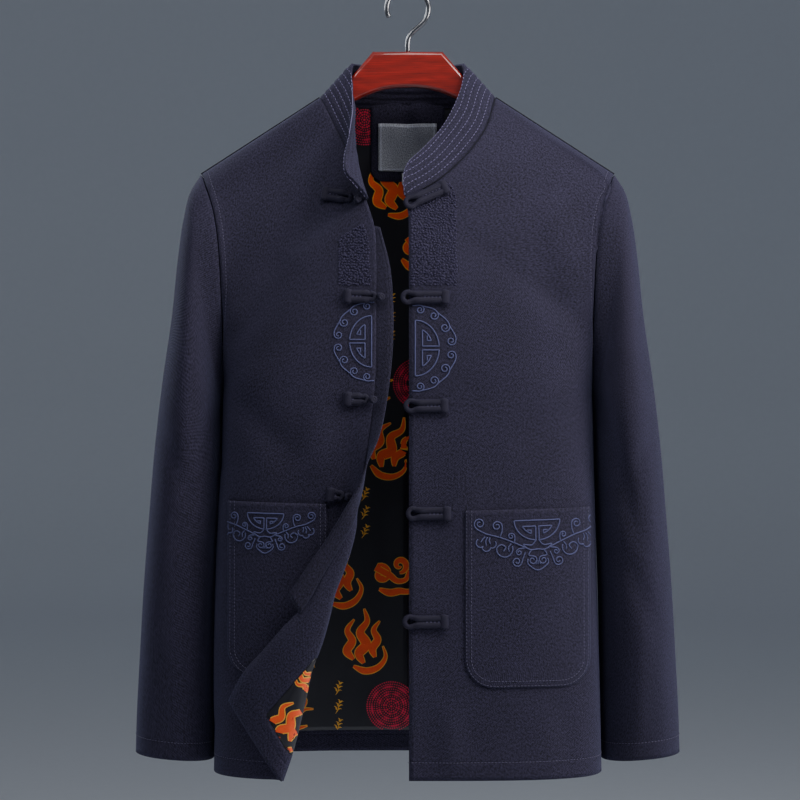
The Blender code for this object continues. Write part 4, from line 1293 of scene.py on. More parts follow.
@functools.cache
def ink(name, colour):
    """A woven-in colour of the lining, with the satin's threads across it."""
    finish = Finish(name, Specular_IOR_Level=0.4, Sheen_Weight=0.1)
    threads = finish.noise(finish.place(500.0, 500.0, 2600.0))
    patchy = finish.noise(finish.place(90.0, 90.0, 90.0))
    shade = threads * 0.6 + patchy * 0.6 - 0.1
    return finish.paint(
        Base_Color=finish.tones(shade.clipped(), colour, 0.62, 1.12),
        Roughness=0.42 + threads * 0.15, Normal=finish.relief(threads * 0.05),
    )


@functools.cache
def label_weave():
    """Charcoal ribbed label with a woven border and nothing on it."""
    finish = Finish("bare_label", Specular_IOR_Level=0.35, Sheen_Weight=0.2)
    _, down, _ = finish.split(finish.weave())
    ribs = (down * (2 * math.pi / 0.9)).sine()
    sides = [finish.distance(f"from_{edge}").band(3.0, 1.0) for edge in ("first", "last", "top", "bottom")]
    border = sides[0] + sides[1] + sides[2] + sides[3]
    speck = finish.noise(finish.weave(900.0, 900.0))
    shade = (speck * 2.0 + ribs * 0.08 + border * 0.5 - 0.62).clipped()
    return finish.paint(
        Base_Color=finish.blend(shade, LABEL_DARK, LABEL_LIGHT), Roughness=0.6 + speck * 0.2,
        Normal=finish.relief(ribs * 0.08 + speck * 0.1 + border * 0.1),
    )


@functools.cache
def tape():
    """Pale cotton tape."""
    finish = Finish("pale_tape", Specular_IOR_Level=0.3)
    threads = finish.noise(finish.place(900.0, 900.0, 1800.0))
    return finish.paint(
        Base_Color=finish.blend(threads, (0.38, 0.39, 0.42), (0.58, 0.59, 0.62)),
        Roughness=0.6 + threads * 0.2,
    )


@functools.cache
def lacquer():
    """Red-brown wood under clear lacquer, its grain along the hanger."""
    finish = Finish("red_lacquer", Coat_Weight=1.0, Coat_Roughness=0.035, Specular_IOR_Level=0.5)
    warp = finish.noise(finish.place(9.0, 9.0, 9.0))
    x, y, z = finish.split(finish.place())
    rings = ((z * 0.45 + y * 0.3 + warp * 22.0 + x * 0.012) * 1.0).sine()
    fibre = finish.noise(finish.place(26.0, 600.0, 900.0), detail=3.0, roughness=0.6)
    pores = finish.noise(finish.place(60.0, 1400.0, 2200.0), detail=1.0)
    shade = (rings * 0.12 + fibre * 1.5 - 0.28).clipped()
    colour = finish.blend(shade, WOOD_DARK, WOOD_LIGHT)
    return finish.paint(
        Base_Color=finish.blend((pores * 4.0 - 2.3).clipped(), colour, times(WOOD_DARK, 0.5)),
        Roughness=0.28 + fibre * 0.12, Normal=finish.relief(fibre * 0.03 + rings * 0.02),
    )


@functools.cache
def polished_wire():
    finish = Finish("hook_wire", Metallic=1.0)
    scratches = finish.noise(finish.place(60.0, 900.0, 60.0), detail=3.0, roughness=0.7)
    return finish.paint(
        Base_Color=finish.blend(scratches, (0.20, 0.20, 0.21), (0.36, 0.36, 0.37)),
        Roughness=0.16 + scratches * 0.14, Normal=finish.relief(scratches * 0.02),
    )


@functools.cache
def studio_paper():
    finish = Finish("studio_paper", Roughness=0.9)
    fibre = finish.noise(finish.place(30.0, 30.0, 30.0), detail=3.0)
    return finish.paint(Base_Color=finish.blend(fibre, (0.76, 0.80, 0.87), (0.79, 0.83, 0.90)))


# Patches, frogs and motifs

def patch(
    ground, near, far, near_top, far_top, bottom, corner, out, tuck=0.0, belly=0.0, stop=None, level=False
):
    """The grid of a patch with rounded lower corners, laid so far outside the ground. Its sewn edges lie
    tuck lower, and its middle stands belly higher. It goes no further across than the line stop. A level
    one is moved straight out, so that it doesn't crowd in a hollow."""
    height = near_top - bottom
    middle = bottom + height / 2
    turn = np.radians(np.linspace(0.0, 90.0, 7))
    ups = [*np.arange(height, corner, -PATCH_STEP), *(corner * (1.0 - np.sin(turn)))]
    shares = (1.0 - np.cos(np.linspace(0.0, np.pi, PATCH_COLUMNS))) / 2 * 0.5
    shares = shares + np.linspace(0.0, 1.0, PATCH_COLUMNS) * 0.5
    grid = []
    for up in ups:
        short = max(corner - up, 0.0)
        inset = corner - math.sqrt(max(corner**2 - short**2, 0.0))
        first, last = near + inset, far - inset
        if stop is not None:
            last = min(last, np.interp(bottom + up, stop[:, 2], stop[:, 0]))
        line = []
        for share in shares:
            x = first + (last - first) * share
            lift = (far_top - near_top) * (x - near) / (far - near) * up / height
            edge = min(x - first, last - x, up) / PATCH_EDGE
            rise = out - tuck * max(1.0 - edge, 0.0) ** 2
            rise += belly * math.sin(math.pi * share) * (up / height) ** 1.5
            place = ground.point(x, bottom + up + lift, rise, back_to=((near + far) / 2, middle))
            line.append((x, place[1], bottom + up + lift) if level else place)
        grid.append(line)
    return np.array(grid)


@functools.cache
def pocket_grid(side):
    ground, stop = panel("left"), None
    if side == "right":
        ground = panel("right_side")
        stop = right_front_grid()[::-1, FRONT_ACROSS] - np.array([ROLL_CLEAR, 0.0, 0.0])
    return patch(ground, *POCKETS[side], POCKET_CORNER, POCKET_OUT, POCKET_TUCK, POCKET_BELLY, stop)


def axes(end, tail):
    """The distance from tail to end, and the directions along it and aside."""
    along = np.array(end) - np.array(tail)
    length = np.linalg.norm(along)
    along /= length
    return length, along, np.array([-along[1], along[0]])


def frog_path(ground, end, tail, radius):
    """A doubled cord: out from the tail, round a loop at the end, and back beside itself. Each point is
    x, y, z and the cord's share of its full radius."""
    length, along, aside = axes(end, tail)
    neck = length - LOOP_NECK * radius
    half = [(neck * i / 3, FROG_SPREAD, 1.0) for i in range(4)]
    for a in np.radians(LOOP_ANGLES):
        half.append((length - radius + radius * math.cos(a), radius * math.sin(a), LOOP_SHARE))
    points = []
    for u, v, share in half + [(length, 0.0, LOOP_SHARE)] + [(u, -v, w) for u, v, w in half[::-1]]:
        x, z = tail + along * u + aside * v
        lift = CORD_LIFT + FROG_CORD * share * CORD_FLAT
        points.append((*ground.point(x, z, lift, back_to=tail), share))
    return np.array(points)


def frog_seams(ground, end, tail):
    """Rows of stitches along a frog's cords."""
    length, along, aside = axes(end, tail)
    rows = []
    for off in (-FROG_SEAM, FROG_SEAM):
        places = np.linspace(1.5, max(length - 15.0, 5.0), 6)
        flat = [tail + along * u + aside * off for u in places]
        rows += ground.line(flat, FROG_SEAM_LIFT, back_to=tail)
    return rows


def arc(x, z, radius, start, end, count=14):
    angle = np.radians(np.linspace(start, end, count))
    return np.stack([x + radius * np.cos(angle), z + radius * np.sin(angle)], axis=1)


def curl(x, z, outer, inner, start, turns, count=22):
    """A spiral inwards round x, z from this angle in degrees. Negative turns go clockwise."""
    angle = math.radians(start) + np.linspace(0.0, 2 * math.pi * turns, count)
    radius = np.linspace(outer, inner, count)
    return np.stack([x + radius * np.cos(angle), z + radius * np.sin(angle)], axis=1)


def turned(lines, x, z, degrees=0.0, scale=1.0, flip=1.0):
    a = math.radians(degrees)
    turn = np.array([[math.cos(a), math.sin(a)], [-math.sin(a), math.cos(a)]])
    return [(np.asarray(line) * [scale * flip, scale]) @ turn + [x, z] for line in lines]


def straight(points, step=1.2):
    """The points with more between them on straight lines, so that corners stay."""
    points = np.asarray(points, float)
    run = runs(points[:, None], 0)[:, 0]
    at = np.union1d(np.arange(0.0, run[-1], step), run)
    return np.stack([np.interp(at, run, points[:, k]) for k in range(2)], axis=1)


def half_roundel(radius, squeeze):
    """A half disc with its straight side on the Z axis, its two halves winding inwards in key frets."""
    lines = [straight([(0.0, radius), (0.0, -radius)])]
    for way in (1.0, -1.0):
        rim = arc(0.0, 0.0, 1.0, 90.0, 4.0, 16)
        inner = arc(0.0, 0.0, 0.72, 62.0, 22.0, 6)
        fret = np.concatenate([rim, [(0.30, 0.07), (0.30, 0.64)], inner, [(0.50, 0.27), (0.50, 0.45)]])
        lines.append(straight(fret * [squeeze * radius, radius * way]))
    return lines


def hook(start, centre, radius, way, turns=1.35, lead=()):
    """A stroke that comes from the start and winds inwards round the centre, clockwise where way is -1."""
    start, centre = np.array(start, float), np.array(centre, float)
    last = np.array(lead[-1], float) if lead else start
    towards = math.atan2(*(centre - last)[::-1])
    begin = towards - way * math.pi / 2
    angle = begin + way * np.linspace(0.0, 2 * math.pi * turns, 20)
    shrink = np.linspace(radius, radius * 0.26, 20)
    winding = centre + shrink[:, None] * np.stack([np.cos(angle), np.sin(angle)], axis=1)
    return smoothed([start, *lead, *winding], 1.0)


def chest_scrolls():
    """A border of hooked curls round a half roundel, each caught on the one before, mirrored below."""
    curls = [(5, 40, 4.8), (19.5, 34, 5), (31, 21.5, 5.2), (37.5, 7.5, 4.8)]
    lines = []
    for way in (1, -1):
        lines.append(hook((-3, 44.5), (5, 40), 4.4, -1) * [1, way])
        for (x0, z0, r0), (x1, z1, r1) in zip(curls, curls[1:]):
            out = np.array([x0, z0]) / math.hypot(x0, z0)
            lines.append(hook(np.array([x0, z0]) + out * r0, (x1, z1), r1, -1) * [1, way])
    return lines


def pocket_scrolls():
    """Stems with leaves and curls to both sides of a hanging half roundel, with a cloud head under it."""
    lines = []
    for way in (1, -1):
        side = [
            hook((11, -33), (60, -6), 5.6, 1, 1.4, [(24, -27), (40, -20.5), (56, -15.5)]),
            hook((39, -20), (42, -9), 5, -1, 1.3, [(37, -15)]),
            hook((24, -26.5), (27.5, -20), 3.4, -1, 1.2),
            hook((14, -32.5), (19.5, -37), 3.2, -1, 1.2),
            hook((13, -37), (22, -46.5), 5, 1, 1.25, [(15.5, -43)]),
            hook((6, -34), (5.6, -45.5), 4.6, 1, 1.1, [(9.5, -40)]),
            smoothed([(1, -24), (6, -29.5), (15, -29), (8, -34.5), (0, -34)], 1.2),
            smoothed(
                [*arc(34.5, -33, 8.4, 160, 365), (38, -28.5), (33.5, -31.5), (36, -35.5)], 1.0
            ),
            smoothed([(27.5, -27.5), (30.5, -31.5), (30, -36)], 1.2),
            np.concatenate([
                arc(47.5, -27.5, 4.2, 140, 300), arc(53.5, -30.5, 4.4, 190, 345),
                arc(59.5, -26, 4.6, 235, 420),
            ]),
            smoothed([(49.5, -20.5), (50.5, -24), (49, -27.5)], 1.2),
            smoothed([(52, -20), (54, -24), (53.8, -29)], 1.2),
            smoothed([(54.5, -19.5), (57, -22), (59.5, -25.5)], 1.2),
        ]
        lines += [line * [way, 1] for line in side]
    lines.append(smoothed([
        (-10.4, -44), (-10.8, -48.5), (-7, -52.5), (0, -56), (7, -52.5), (10.8, -48.5),
        (10.4, -44),
    ], 1.2))
    lines += [smoothed([(x, -46), (x * 1.6, -50)], 1) for x in (-1.6, 0, 1.6)]
    return lines


def ribbon(ground, flat, widths, out):
    """A flat stroke of colour on the ground, as wide as each width."""
    flat = np.asarray(flat)
    along = np.gradient(flat, axis=0)
    along /= np.linalg.norm(along, axis=1, keepdims=True)
    aside = np.stack([-along[:, 1], along[:, 0]], axis=1)
    points, faces, row_before = [], [], None
    for middle, side, width in zip(flat, aside, widths):
        places = [ground.point(*(middle + side * width * t / 2), out) for t in (-1.0, 0.0, 1.0)]
        if any(place is None for place in places):
            row_before = None
            continue
        first = len(points)
        points += places
        if row_before is not None:
            for k in range(2):
                faces.append((row_before + k, first + k, first + k + 1, row_before + k + 1))
        row_before = first
    return points, faces, ()


def tapered(count, full):
    """Widths along a brush stroke: soon at its fullest, then thinning to a point."""
    t = np.linspace(0.02, 0.99, count)
    return full * np.minimum((t / 0.22) ** 0.55, 1.0) * np.minimum(((1.0 - t) / 0.6), 1.0) ** 0.7


def cloud_strokes():
    """A drifting cloud: a curl with a long tail, and two more strokes beside it."""
    tail = smoothed([(-1, 2), (5, -6), (13, -7), (20, 1), (29, 3)], 1.5)
    under = smoothed([(-16, -8), (-6, -15), (4, -16.5), (12, -19.5), (26, -15)], 1.5)
    return [
        (np.concatenate([curl(-9, 6, 1.5, 8.5, 40, 1.2), tail]), 6.5),
        (curl(12, 9, 8, 1.5, 250, 1.15), 5.5), (under, 6.5),
    ]


def flame_strokes():
    """Tongues of flame that lean together, each full at its foot and pointed at its tip."""
    return [(smoothed(points, 1.5), width) for points, width in (
        ([(-13, -17), (-19, -8), (-13, 2), (-17, 13), (-9, 24)], 8),
        ([(-3, -22), (-7, -12), (1, -3), (-4, 10), (4, 21), (2, 34)], 9.5),
        ([(9, -17), (7, -8), (13, 1), (10, 11), (17, 20)], 7.5),
        ([(-14, -24), (-2, -30), (12, -27), (20, -17), (18, -6)], 6),
    )]


def sprig_strokes():
    """A stem with paired leaves."""
    strokes = [(smoothed([(0, -14), (1.5, -5), (-1, 4), (1, 13)], 1.5), 1.6)]
    for z, size in ((-7, 8), (0, 7), (7, 5.5)):
        for way in (1, -1):
            leaf = smoothed([(0.5 * way, z), (size * 0.5 * way, z + 4.5), (size * way, z + 5)], 1.2)
            strokes.append((leaf, 2.6))
    return strokes


STROKES = {"cloud": cloud_strokes, "flame": flame_strokes, "sprig": sprig_strokes}


def rosette_dots(x, z, radius):
    """Dots in rings, with a petal every sixth of the way round."""
    places = [(x, z, 1.5)]
    for i, ring in enumerate(np.arange(3.2, radius, 2.7)):
        count = int(2 * math.pi * ring / 2.5)
        for k in range(count):
            angle = 2 * math.pi * (k + 0.5 * (i % 2)) / count
            petal = math.cos(4.0 * angle + 0.11 * ring) ** 2 * math.cos(0.42 * ring) ** 2
            places.append((x + ring * math.cos(angle), z + ring * math.sin(angle), 0.8 + 0.85 * petal))
    return places


def dots(ground, places, out):
    points, faces = [], []
    for x, z, size in places:
        around = [
            ground.point(x + size * math.cos(a), z + size * math.sin(a), out)
            for a in np.radians(np.arange(0, 360, 60))
        ]
        if any(place is None for place in around):
            continue
        first = len(points)
        points += around
        faces.append(tuple(first + k for k in range(6)))
    return points, faces, ()


def printed(name, ground, layout):
    """The lining's motifs, each its kind, x, z, turn and scale."""
    out = LINING + PRINT_LIFT
    sheets = {"orange": [], "yellow": [], "red": []}
    for kind, x, z, degrees, scale in layout:
        if kind == "rosette":
            sheets["red"].append(dots(ground, rosette_dots(x, z, 25.0 * scale), out + 0.1))
            continue
        for line, width in STROKES[kind]():
            (line,) = turned([line], x, z, degrees, scale)
            widths = tapered(len(line), width * scale)
            outline = 0.0 if kind == "sprig" else OUTLINE
            sheets["yellow"].append(ribbon(ground, line, widths + outline, out))
            if kind != "sprig":
                sheets["orange"].append(ribbon(ground, line, widths, out + 0.15))
    colours = bpy.context.scene.jacket_colours
    for colour, parts in sheets.items():
        points, faces, _ = joined(parts)
        if faces:
            finish = ink(f"lining_{colour}", tuple(getattr(colours, colour)))
            obj = mesh_object(f"{name}_{colour}", points, faces, finish)
            reworked(obj.data, facing_front)
            set_down(obj, "lining_satin")


def facing_front(made):
    """Turns a flat print's faces towards the jacket's front."""
    for face in made.faces:
        face.normal_update()
        if face.normal.y > 0:
            face.normal_flip()


# The operators

# dark scales the cloth's colour: below 1 it paints shade on a piece, above 1 it paints light.
def navy(name="navy_twill", grooves=(), dark=1.0):
    return twill(name, times(tuple(bpy.context.scene.jacket_colours.cloth), dark), grooves)


def sewing_thread(name="navy_sewing_thread", bright=3.2):
    return stitch_thread(name, times(tuple(bpy.context.scene.jacket_colours.cloth), bright))


def pocket_seam(side, inset):
    """A row of stitches beside a pocket's sewn edges."""
    near, far, near_top, far_top, bottom = POCKETS[side]
    turn = POCKET_CORNER - inset
    foot, low = bottom + inset, bottom + POCKET_CORNER
    flat = np.concatenate([
        [(near + inset, near_top - POCKET_SEAM_TOP), (near + inset, low)],
        arc(near + POCKET_CORNER, low, turn, 180.0, 270.0),
        [(far - POCKET_CORNER, foot)], arc(far - POCKET_CORNER, low, turn, 270.0, 360.0),
        [(far - inset, far_top - POCKET_SEAM_TOP)],
    ])
    return Panel(pocket_grid(side)).line(straight(flat, 2.5), STITCH_LIFT)


class JACKET_OT_fronts(bpy.types.Operator):
    """Make both fronts, the right one with its lower corner turned back, its facing and the underlap"""

    bl_idname = "jacket.fronts"
    bl_label = "Fronts"

    def execute(self, context):
        for side, edge in (("left", "from_last"), ("right", "from_first")):
            finish = navy(f"{side}_twill", ((edge, ARMHOLE_STITCH), ("from_bottom", HEM_STITCH)))
            cloth(
                f"{side}_front_cloth", f"front_{side}", "jacket_cloth", ["hanger"],
                shape(f"front_{side}"), WALL, finish,
            )
        row_at, column_at = stops()
        start, faced = column_at[FRONT_ACROSS - 1], column_at[-1 - FACED_SPANS]
        inner, apex = turned_corner()
        cells = np.zeros((inner.shape[0] - 1, inner.shape[1] - 1), bool)
        cells[row_at[len(RIGHT_FRONT)]:, start:] = True
        cells[apex:row_at[len(RIGHT_FRONT) + LINED_TO], start:faced] = False
        cloth(
            "turned_facing_cloth", "facing_right", "facing_cloth", ["right_front_cloth"],
            trimmed(inner, bottom=1.0, last=1.0), FACING,
            navy("facing_twill", (("from_bottom", HEM_STITCH - 2.0),)), cells,
        )
        outer = np.array(UNDERLAP) * FLIP
        behind = moved(right_front_grid(), -WALL - GAP)[UNDERLAP_FROM:UNDERLAP_FROM + len(outer)]
        inner, inward = behind[:, -1], behind[:, -2] - behind[:, -1]
        inward *= UNDERLAP_TUCK / np.linalg.norm(inward, axis=1, keepdims=True)
        across = np.linspace(0.0, 1.0, 4)[None, :, None]
        strip = inner[:, None] * (1 - across) + outer[:, None] * across
        # Painted shade: the underlap's twill is 0.8 times as dark as the cloth, for the shade under the
        # front's edge.
        cloth(
            "underlap_cloth", "underlap", "jacket_cloth", ["right_front_cloth"],
            finer(np.concatenate([(inner + inward)[:, None], strip], axis=1), CLOTH_STEP), UNDERLAP_WALL,
            navy("underlap_twill", (("from_last", 4.0),), 0.8),
        )
        return {"FINISHED"}


class JACKET_OT_back(bpy.types.Operator):
    """Make the back"""

    bl_idname = "jacket.back"
    bl_label = "Back"

    def execute(self, context):
        grooves = (
            ("from_first", ARMHOLE_STITCH), ("from_last", ARMHOLE_STITCH), ("from_bottom", HEM_STITCH),
        )
        cloth(
            "back_cloth", "back", "jacket_cloth", ["hanger"], shape("back"), WALL,
            navy("back_twill", grooves), two_sided=True,
        )
        return {"FINISHED"}


class JACKET_OT_sleeves(bpy.types.Operator):
    """Make both sleeves"""

    bl_idname = "jacket.sleeves"
    bl_label = "Sleeves"

    def execute(self, context):
        finish = navy("sleeve_twill", (("from_bottom", CUFF_STITCH),))
        for side in ("left", "right"):
            cloth(
                f"{side}_sleeve_cloth", f"sleeve_{side}", "jacket_cloth",
                [f"{side}_front_cloth", "back_cloth"], shape(f"sleeve_{side}"), WALL, finish, ring=True,
            )
        return {"FINISHED"}


class JACKET_OT_collar(bpy.types.Operator):
    """Make the stand collar with its rows of stitching"""

    bl_idname = "jacket.collar"
    bl_label = "Stand collar"

    def execute(self, context):
        grid = shape("collar")
        band = cloth(
            "collar_band", "collar", "collar_cloth", ["back_cloth"], grid, COLLAR, navy("collar_twill")
        )
        bevelled(band, 1.0, 2, 50)
        lines = [beside(grid, COLLAR_ROWS * i, "bottom", STITCH_LIFT) for i in range(1, COLLAR_LINES + 1)]
        stitches("collar_stitches", lines, sewing_thread("collar_thread", 6.5), "collar_cloth", 1.25)
        return {"FINISHED"}


class JACKET_OT_lining(bpy.types.Operator):
    """Make the back's lining and the lining on the turned-back corner, with their woven motifs"""

    bl_idname = "jacket.lining"
    bl_label = "Lining"

    def execute(self, context):
        grid = back_layer(-(WALL + GAP))
        rows = stops_of(back_grid())
        lined = grid[rows[LINED_BACK_FROM] - 3:rows[-2] + 2, 1:-1]
        cloth(
            "back_lining", "lining_back", "lining_satin", ["back_cloth"], lined, LINING, satin(),
            two_sided=True,
        )
        row_at, column_at = stops()
        inner, apex = turned_corner()
        inner = inner[
            apex:row_at[len(RIGHT_FRONT) + LINED_TO] + 1,
            column_at[FRONT_ACROSS - 1]:column_at[-1 - FACED_SPANS] + 1,
        ]
        inner = trimmed(inner, top=GAP, bottom=GAP, last=GAP)
        cloth(
            "corner_lining", "lining_right", "lining_satin", ["right_front_cloth"], inner, LINING, satin()
        )
        layout = []
        for i, row in enumerate(PRINT_ROWS):
            z = PRINT_TOP - PRINT_DOWN * i
            for j, letter in enumerate(row):
                kind = PRINT_KINDS[letter]
                x = PRINT_ACROSS * (j - 3) + (12.0 if i % 2 == 0 else -18.0)
                lean = 25.0 * math.sin(2.3 * i + 1.7 * j)
                if kind == "sprig":
                    layout += [(kind, x, z + up, lean, SPRIG_SIZE) for up in SPRIG_HEIGHTS]
                else:
                    layout.append((kind, x, z, lean, PRINT_SIZE))
        printed("back_print", Panel(*halves(lined)), layout)
        printed("corner_print", Panel(inner), CORNER_PRINT)
        return {"FINISHED"}


class JACKET_OT_neck(bpy.types.Operator):
    """Make the facing inside the back of the neck, its bare label and the size tab"""

    bl_idname = "jacket.neck"
    bl_label = "Neck facing and label"

    def execute(self, context):
        ground = Panel(*halves(back_layer(-(WALL + GAP))))
        under = LINING + NECK_CLEAR
        over = under + FACING + PATCH_CLEAR
        # Painted light: the neck facing's twill is 1.05 times as light as the outer cloth, though it lies in
        # shade inside the neck.
        for name, node, slot, rests_on, outline, out, tuck, wall, finish in (
            ("neck_facing_cloth", "neck_facing", "facing_cloth", "back_lining", NECK_FACING, under, 1.2,
             FACING, navy("neck_twill", dark=1.05)),
            ("bare_label", "label", "label_cloth", "neck_facing_cloth", LABEL, over, 0.6, LINING,
             label_weave()),
            ("bare_size_tab", "size_tab", "label_cloth", "neck_facing_cloth", SIZE_TAB, over, 0.0, LINING,
             tape()),
        ):
            half, top, bottom, corner = outline
            grid = patch(ground, -half, half, top, top, bottom, corner, out, tuck=tuck, level=True)
            cloth(name, node, slot, [rests_on], grid, wall, finish)
        return {"FINISHED"}


class JACKET_OT_pockets(bpy.types.Operator):
    """Make both patch pockets"""

    bl_idname = "jacket.pockets"
    bl_label = "Patch pockets"

    def execute(self, context):
        for side in ("left", "right"):
            cloth(
                f"{side}_pocket_cloth", f"pocket_{side}", "jacket_cloth", [f"{side}_front_cloth"],
                pocket_grid(side), PATCH, navy("pocket_twill"),
            )
        return {"FINISHED"}


class JACKET_OT_sewing(bpy.types.Operator):
    """Lay dark cords of painted shadow along the neck and shoulder seams, and sew the rows of stitches beside
    armholes, hems, cuffs and pockets
    """

    bl_idname = "jacket.sewing"
    bl_label = "Sewing"

    def execute(self, context):
        finish = sewing_thread()
        left, right, backs = shape("front_left"), shape("front_right"), halves(shape("back"))
        lines = []
        for grid, edge in ((left, "last"), (right, "first"), (backs[0], "first"), (backs[1], "last")):
            line = beside(grid, ARMHOLE_STITCH, edge, STITCH_LIFT)
            lines.append(line[line[:, 2] > UNDERARM])
        lines += [beside(grid, HEM_STITCH, "bottom", STITCH_LIFT) for grid in (left, right, *backs)]
        stitches("body_stitches", lines, finish, "jacket_cloth")
        sides = ("left", "right")
        cuffs = [beside(shape(f"sleeve_{side}"), CUFF_STITCH, "bottom", STITCH_LIFT) for side in sides]
        stitches("cuff_stitches", [[*ring, ring[0]] for ring in cuffs], finish, "jacket_cloth")
        lines = [run for side in sides for inset in POCKET_STITCHES for run in pocket_seam(side, inset)]
        stitches("pocket_stitches", lines, finish, "jacket_cloth")
        # Painted shadow: a dark cord along the collar's lower edge, the left front's neckline and both
        # shoulders stands in for the shade in these seams.
        neck = beside(left, SEAM_SHADOW_INSET, "first", SEAM_SHADOW_LIFT)
        seams = [beside(shape("collar"), SEAM_SHADOW_INSET, "bottom", SEAM_SHADOW_LIFT), neck[neck[:, 2] > NECK_END]]
        seams += [beside(grid, SEAM_SHADOW_INSET, "top", SEAM_SHADOW_LIFT) for grid in (left, right)]
        parts = [tube(line, SEAM_SHADOW_RADIUS, SEWN_FLAT, 6) for line in seams]
        shade = thread("seam_shade", times(tuple(context.scene.jacket_colours.cloth), 0.3))
        solid("neck_and_shoulder_seams", parts, shade, "jacket_cloth")
        return {"FINISHED"}


class JACKET_OT_embroidery(bpy.types.Operator):
    """Sew down the raised cord of the half roundels and scrolls, and the knotted chest bands"""

    bl_idname = "jacket.embroidery"
    bl_label = "Embroidery"

    def execute(self, context):
        sizes = context.scene.jacket_sewing
        finish = thread("embroidery_cord", tuple(context.scene.jacket_colours.embroidery))
        radius = sizes.embroidery / 2 / MM
        chest = half_roundel(29.0, 0.86) + chest_scrolls()
        hanging = turned(half_roundel(24.0, 0.86), 0.0, -4.0, -90.0) + pocket_scrolls()
        for name, ground, lines in (
            ("left_chest_cord", panel("left"), turned(chest, 7.5, -391.0)),
            ("right_chest_cord", panel("right"), turned(chest, -38.0, -384.0, 0.0, 0.92, -1.0)),
            ("left_pocket_cord", Panel(pocket_grid("left")), turned(hanging, 134.0, -566.0, 1.5)),
            ("right_pocket_cord", Panel(pocket_grid("right")), turned(hanging, -148.5, -560.0, -1.0, 0.8)),
        ):
            laid = [run for line in lines for run in ground.line(smoothed(line, 1.2), radius * CORD_SUNK)]
            solid(name, [tube(run, radius, SEWN_FLAT, 6) for run in laid], finish, "jacket_cloth")
        knots = thread("knotted_thread", times(tuple(context.scene.jacket_colours.cloth), 2.6))
        for side, corners in (("left", LEFT_BAND), ("right", RIGHT_BAND)):
            base = band_patch(panel(side), corners)
            band = repeated(
                f"{side}_chest_band", base, knot_tree(), Spacing=sizes.knots,
                Radius=sizes.knots * 0.42, Thread=knots,
            )
            set_down(band, "jacket_cloth")
        return {"FINISHED"}


def band_patch(ground, edges):
    """The stretch of cloth between two edges: rows of left x, right x and z."""
    rows = np.array(edges, float)
    points, faces = [], []
    for i, height in enumerate(np.arange(rows[0, 2], rows[-1, 2], -BAND_STEP)):
        left, right = (np.interp(-height, -rows[:, 2], rows[:, k]) for k in (0, 1))
        points += [ground.point(x, height, BAND_LIFT) for x in np.linspace(left, right, BAND_COLUMNS)]
        if i:
            first = (i - 1) * BAND_COLUMNS
            faces += [
                (a, a + BAND_COLUMNS, a + BAND_COLUMNS + 1, a + 1)
                for a in range(first, first + BAND_COLUMNS - 1)
            ]
    return mesh_object("band_ground", points, faces, navy())


class JACKET_OT_frogs(bpy.types.Operator):
    """Make the five frog fasteners: doubled cords, their loops and the knotted buttons"""

    bl_idname = "jacket.frogs"
    bl_label = "Frog fasteners"

    def execute(self, context):
        colour = tuple(context.scene.jacket_colours.cord)
        finish = thread("frog_cord", colour, 0.6)
        seams = []
        for i, row in enumerate(np.array(FROG_LOOPS), 1):
            seams += self.frog("loop", i, panel("left"), row[:2], row[2:], LOOP_RADIUS, finish)
        for i, tail in enumerate(np.array(KNOT_TAILS), 1):
            hidden = i == len(KNOT_TAILS)
            low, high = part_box(f"frog_knot_{i}")
            centre = (np.array(low) + np.array(high)) / 2 / MM
            middle = centre[[0, 2]]
            end = middle + axes(tail, middle)[1] * (KNOT_RADIUS + 1.0)
            ground = panel("under_flap" if hidden else "right")
            rows = self.frog("strap", i, ground, end, tail, FROG_SPREAD, finish)
            seams += [] if hidden else rows
            self.knot(f"button_knot_{i}", centre, finish, f"frog_knot_{i}")
        stitches("frog_stitches", seams, stitch_thread("frog_thread", times(colour, 5.0)), "frog_cord")
        return {"FINISHED"}

    def frog(self, kind, i, ground, end, tail, radius, finish):
        """A doubled cord and the folded cloth laid across its tail, and the lines of its stitches."""
        path = smoothed(frog_path(ground, end, tail, radius), 1.2)
        part = tube(path[:, :3], path[:, 3] * FROG_CORD * CORD_WIDE, CORD_FLAT / CORD_WIDE, 14)
        solid(f"{kind}_cord_{i}", [part], finish, "frog_cord", f"frog_{kind}_{i}")
        aside = axes(end, tail)[2]
        share = np.linspace(-1.0, 1.0, 15)
        path = [ground.point(*(tail + aside * v * TAB_HALF), TAB_HIGH, back_to=tail) for v in share]
        radii = TAB_WIDE * np.clip(1.0 - np.abs(share) ** 9, 0.0, 1.0) ** 0.5 + 0.4
        part = tube(path, radii, TAB_HIGH / TAB_WIDE, 16)
        solid(f"{kind}_tab_{i}", [part], tab_cloth(), "frog_cord", f"frog_{kind}_tab_{i}")
        return frog_seams(ground, end, tail)

    def knot(self, name, centre, finish, node):
        """A button of one cord, woven over and under itself round a ball."""
        lon = np.linspace(0.0, 4 * math.pi, 160)
        reach = KNOT_RADIUS - KNOT_CORD + KNOT_WEAVE * np.sin(6.0 * lon / 2.0 + 0.6)
        lat = KNOT_SWING * np.sin(1.5 * lon)
        path = centre + reach[:, None] * np.stack(
            [np.cos(lat) * np.cos(lon), np.cos(lat) * np.sin(lon), np.sin(lat)], axis=1
        )
        away = (path - centre) / reach[:, None]
        parts = [tube(path, KNOT_CORD, 0.85, 8, away)]
        ball = bmesh.new()
        bmesh.ops.create_uvsphere(ball, u_segments=16, v_segments=10, radius=KNOT_RADIUS - KNOT_CORD * 0.9)
        points = [np.array(v.co) + centre for v in ball.verts]
        faces = [tuple(v.index for v in f.verts) for f in ball.faces]
        ball.free()
        parts.append((points, faces, [(0.0, 0.0)] * len(points)))
        solid(name, parts, finish, "frog_cord", node)


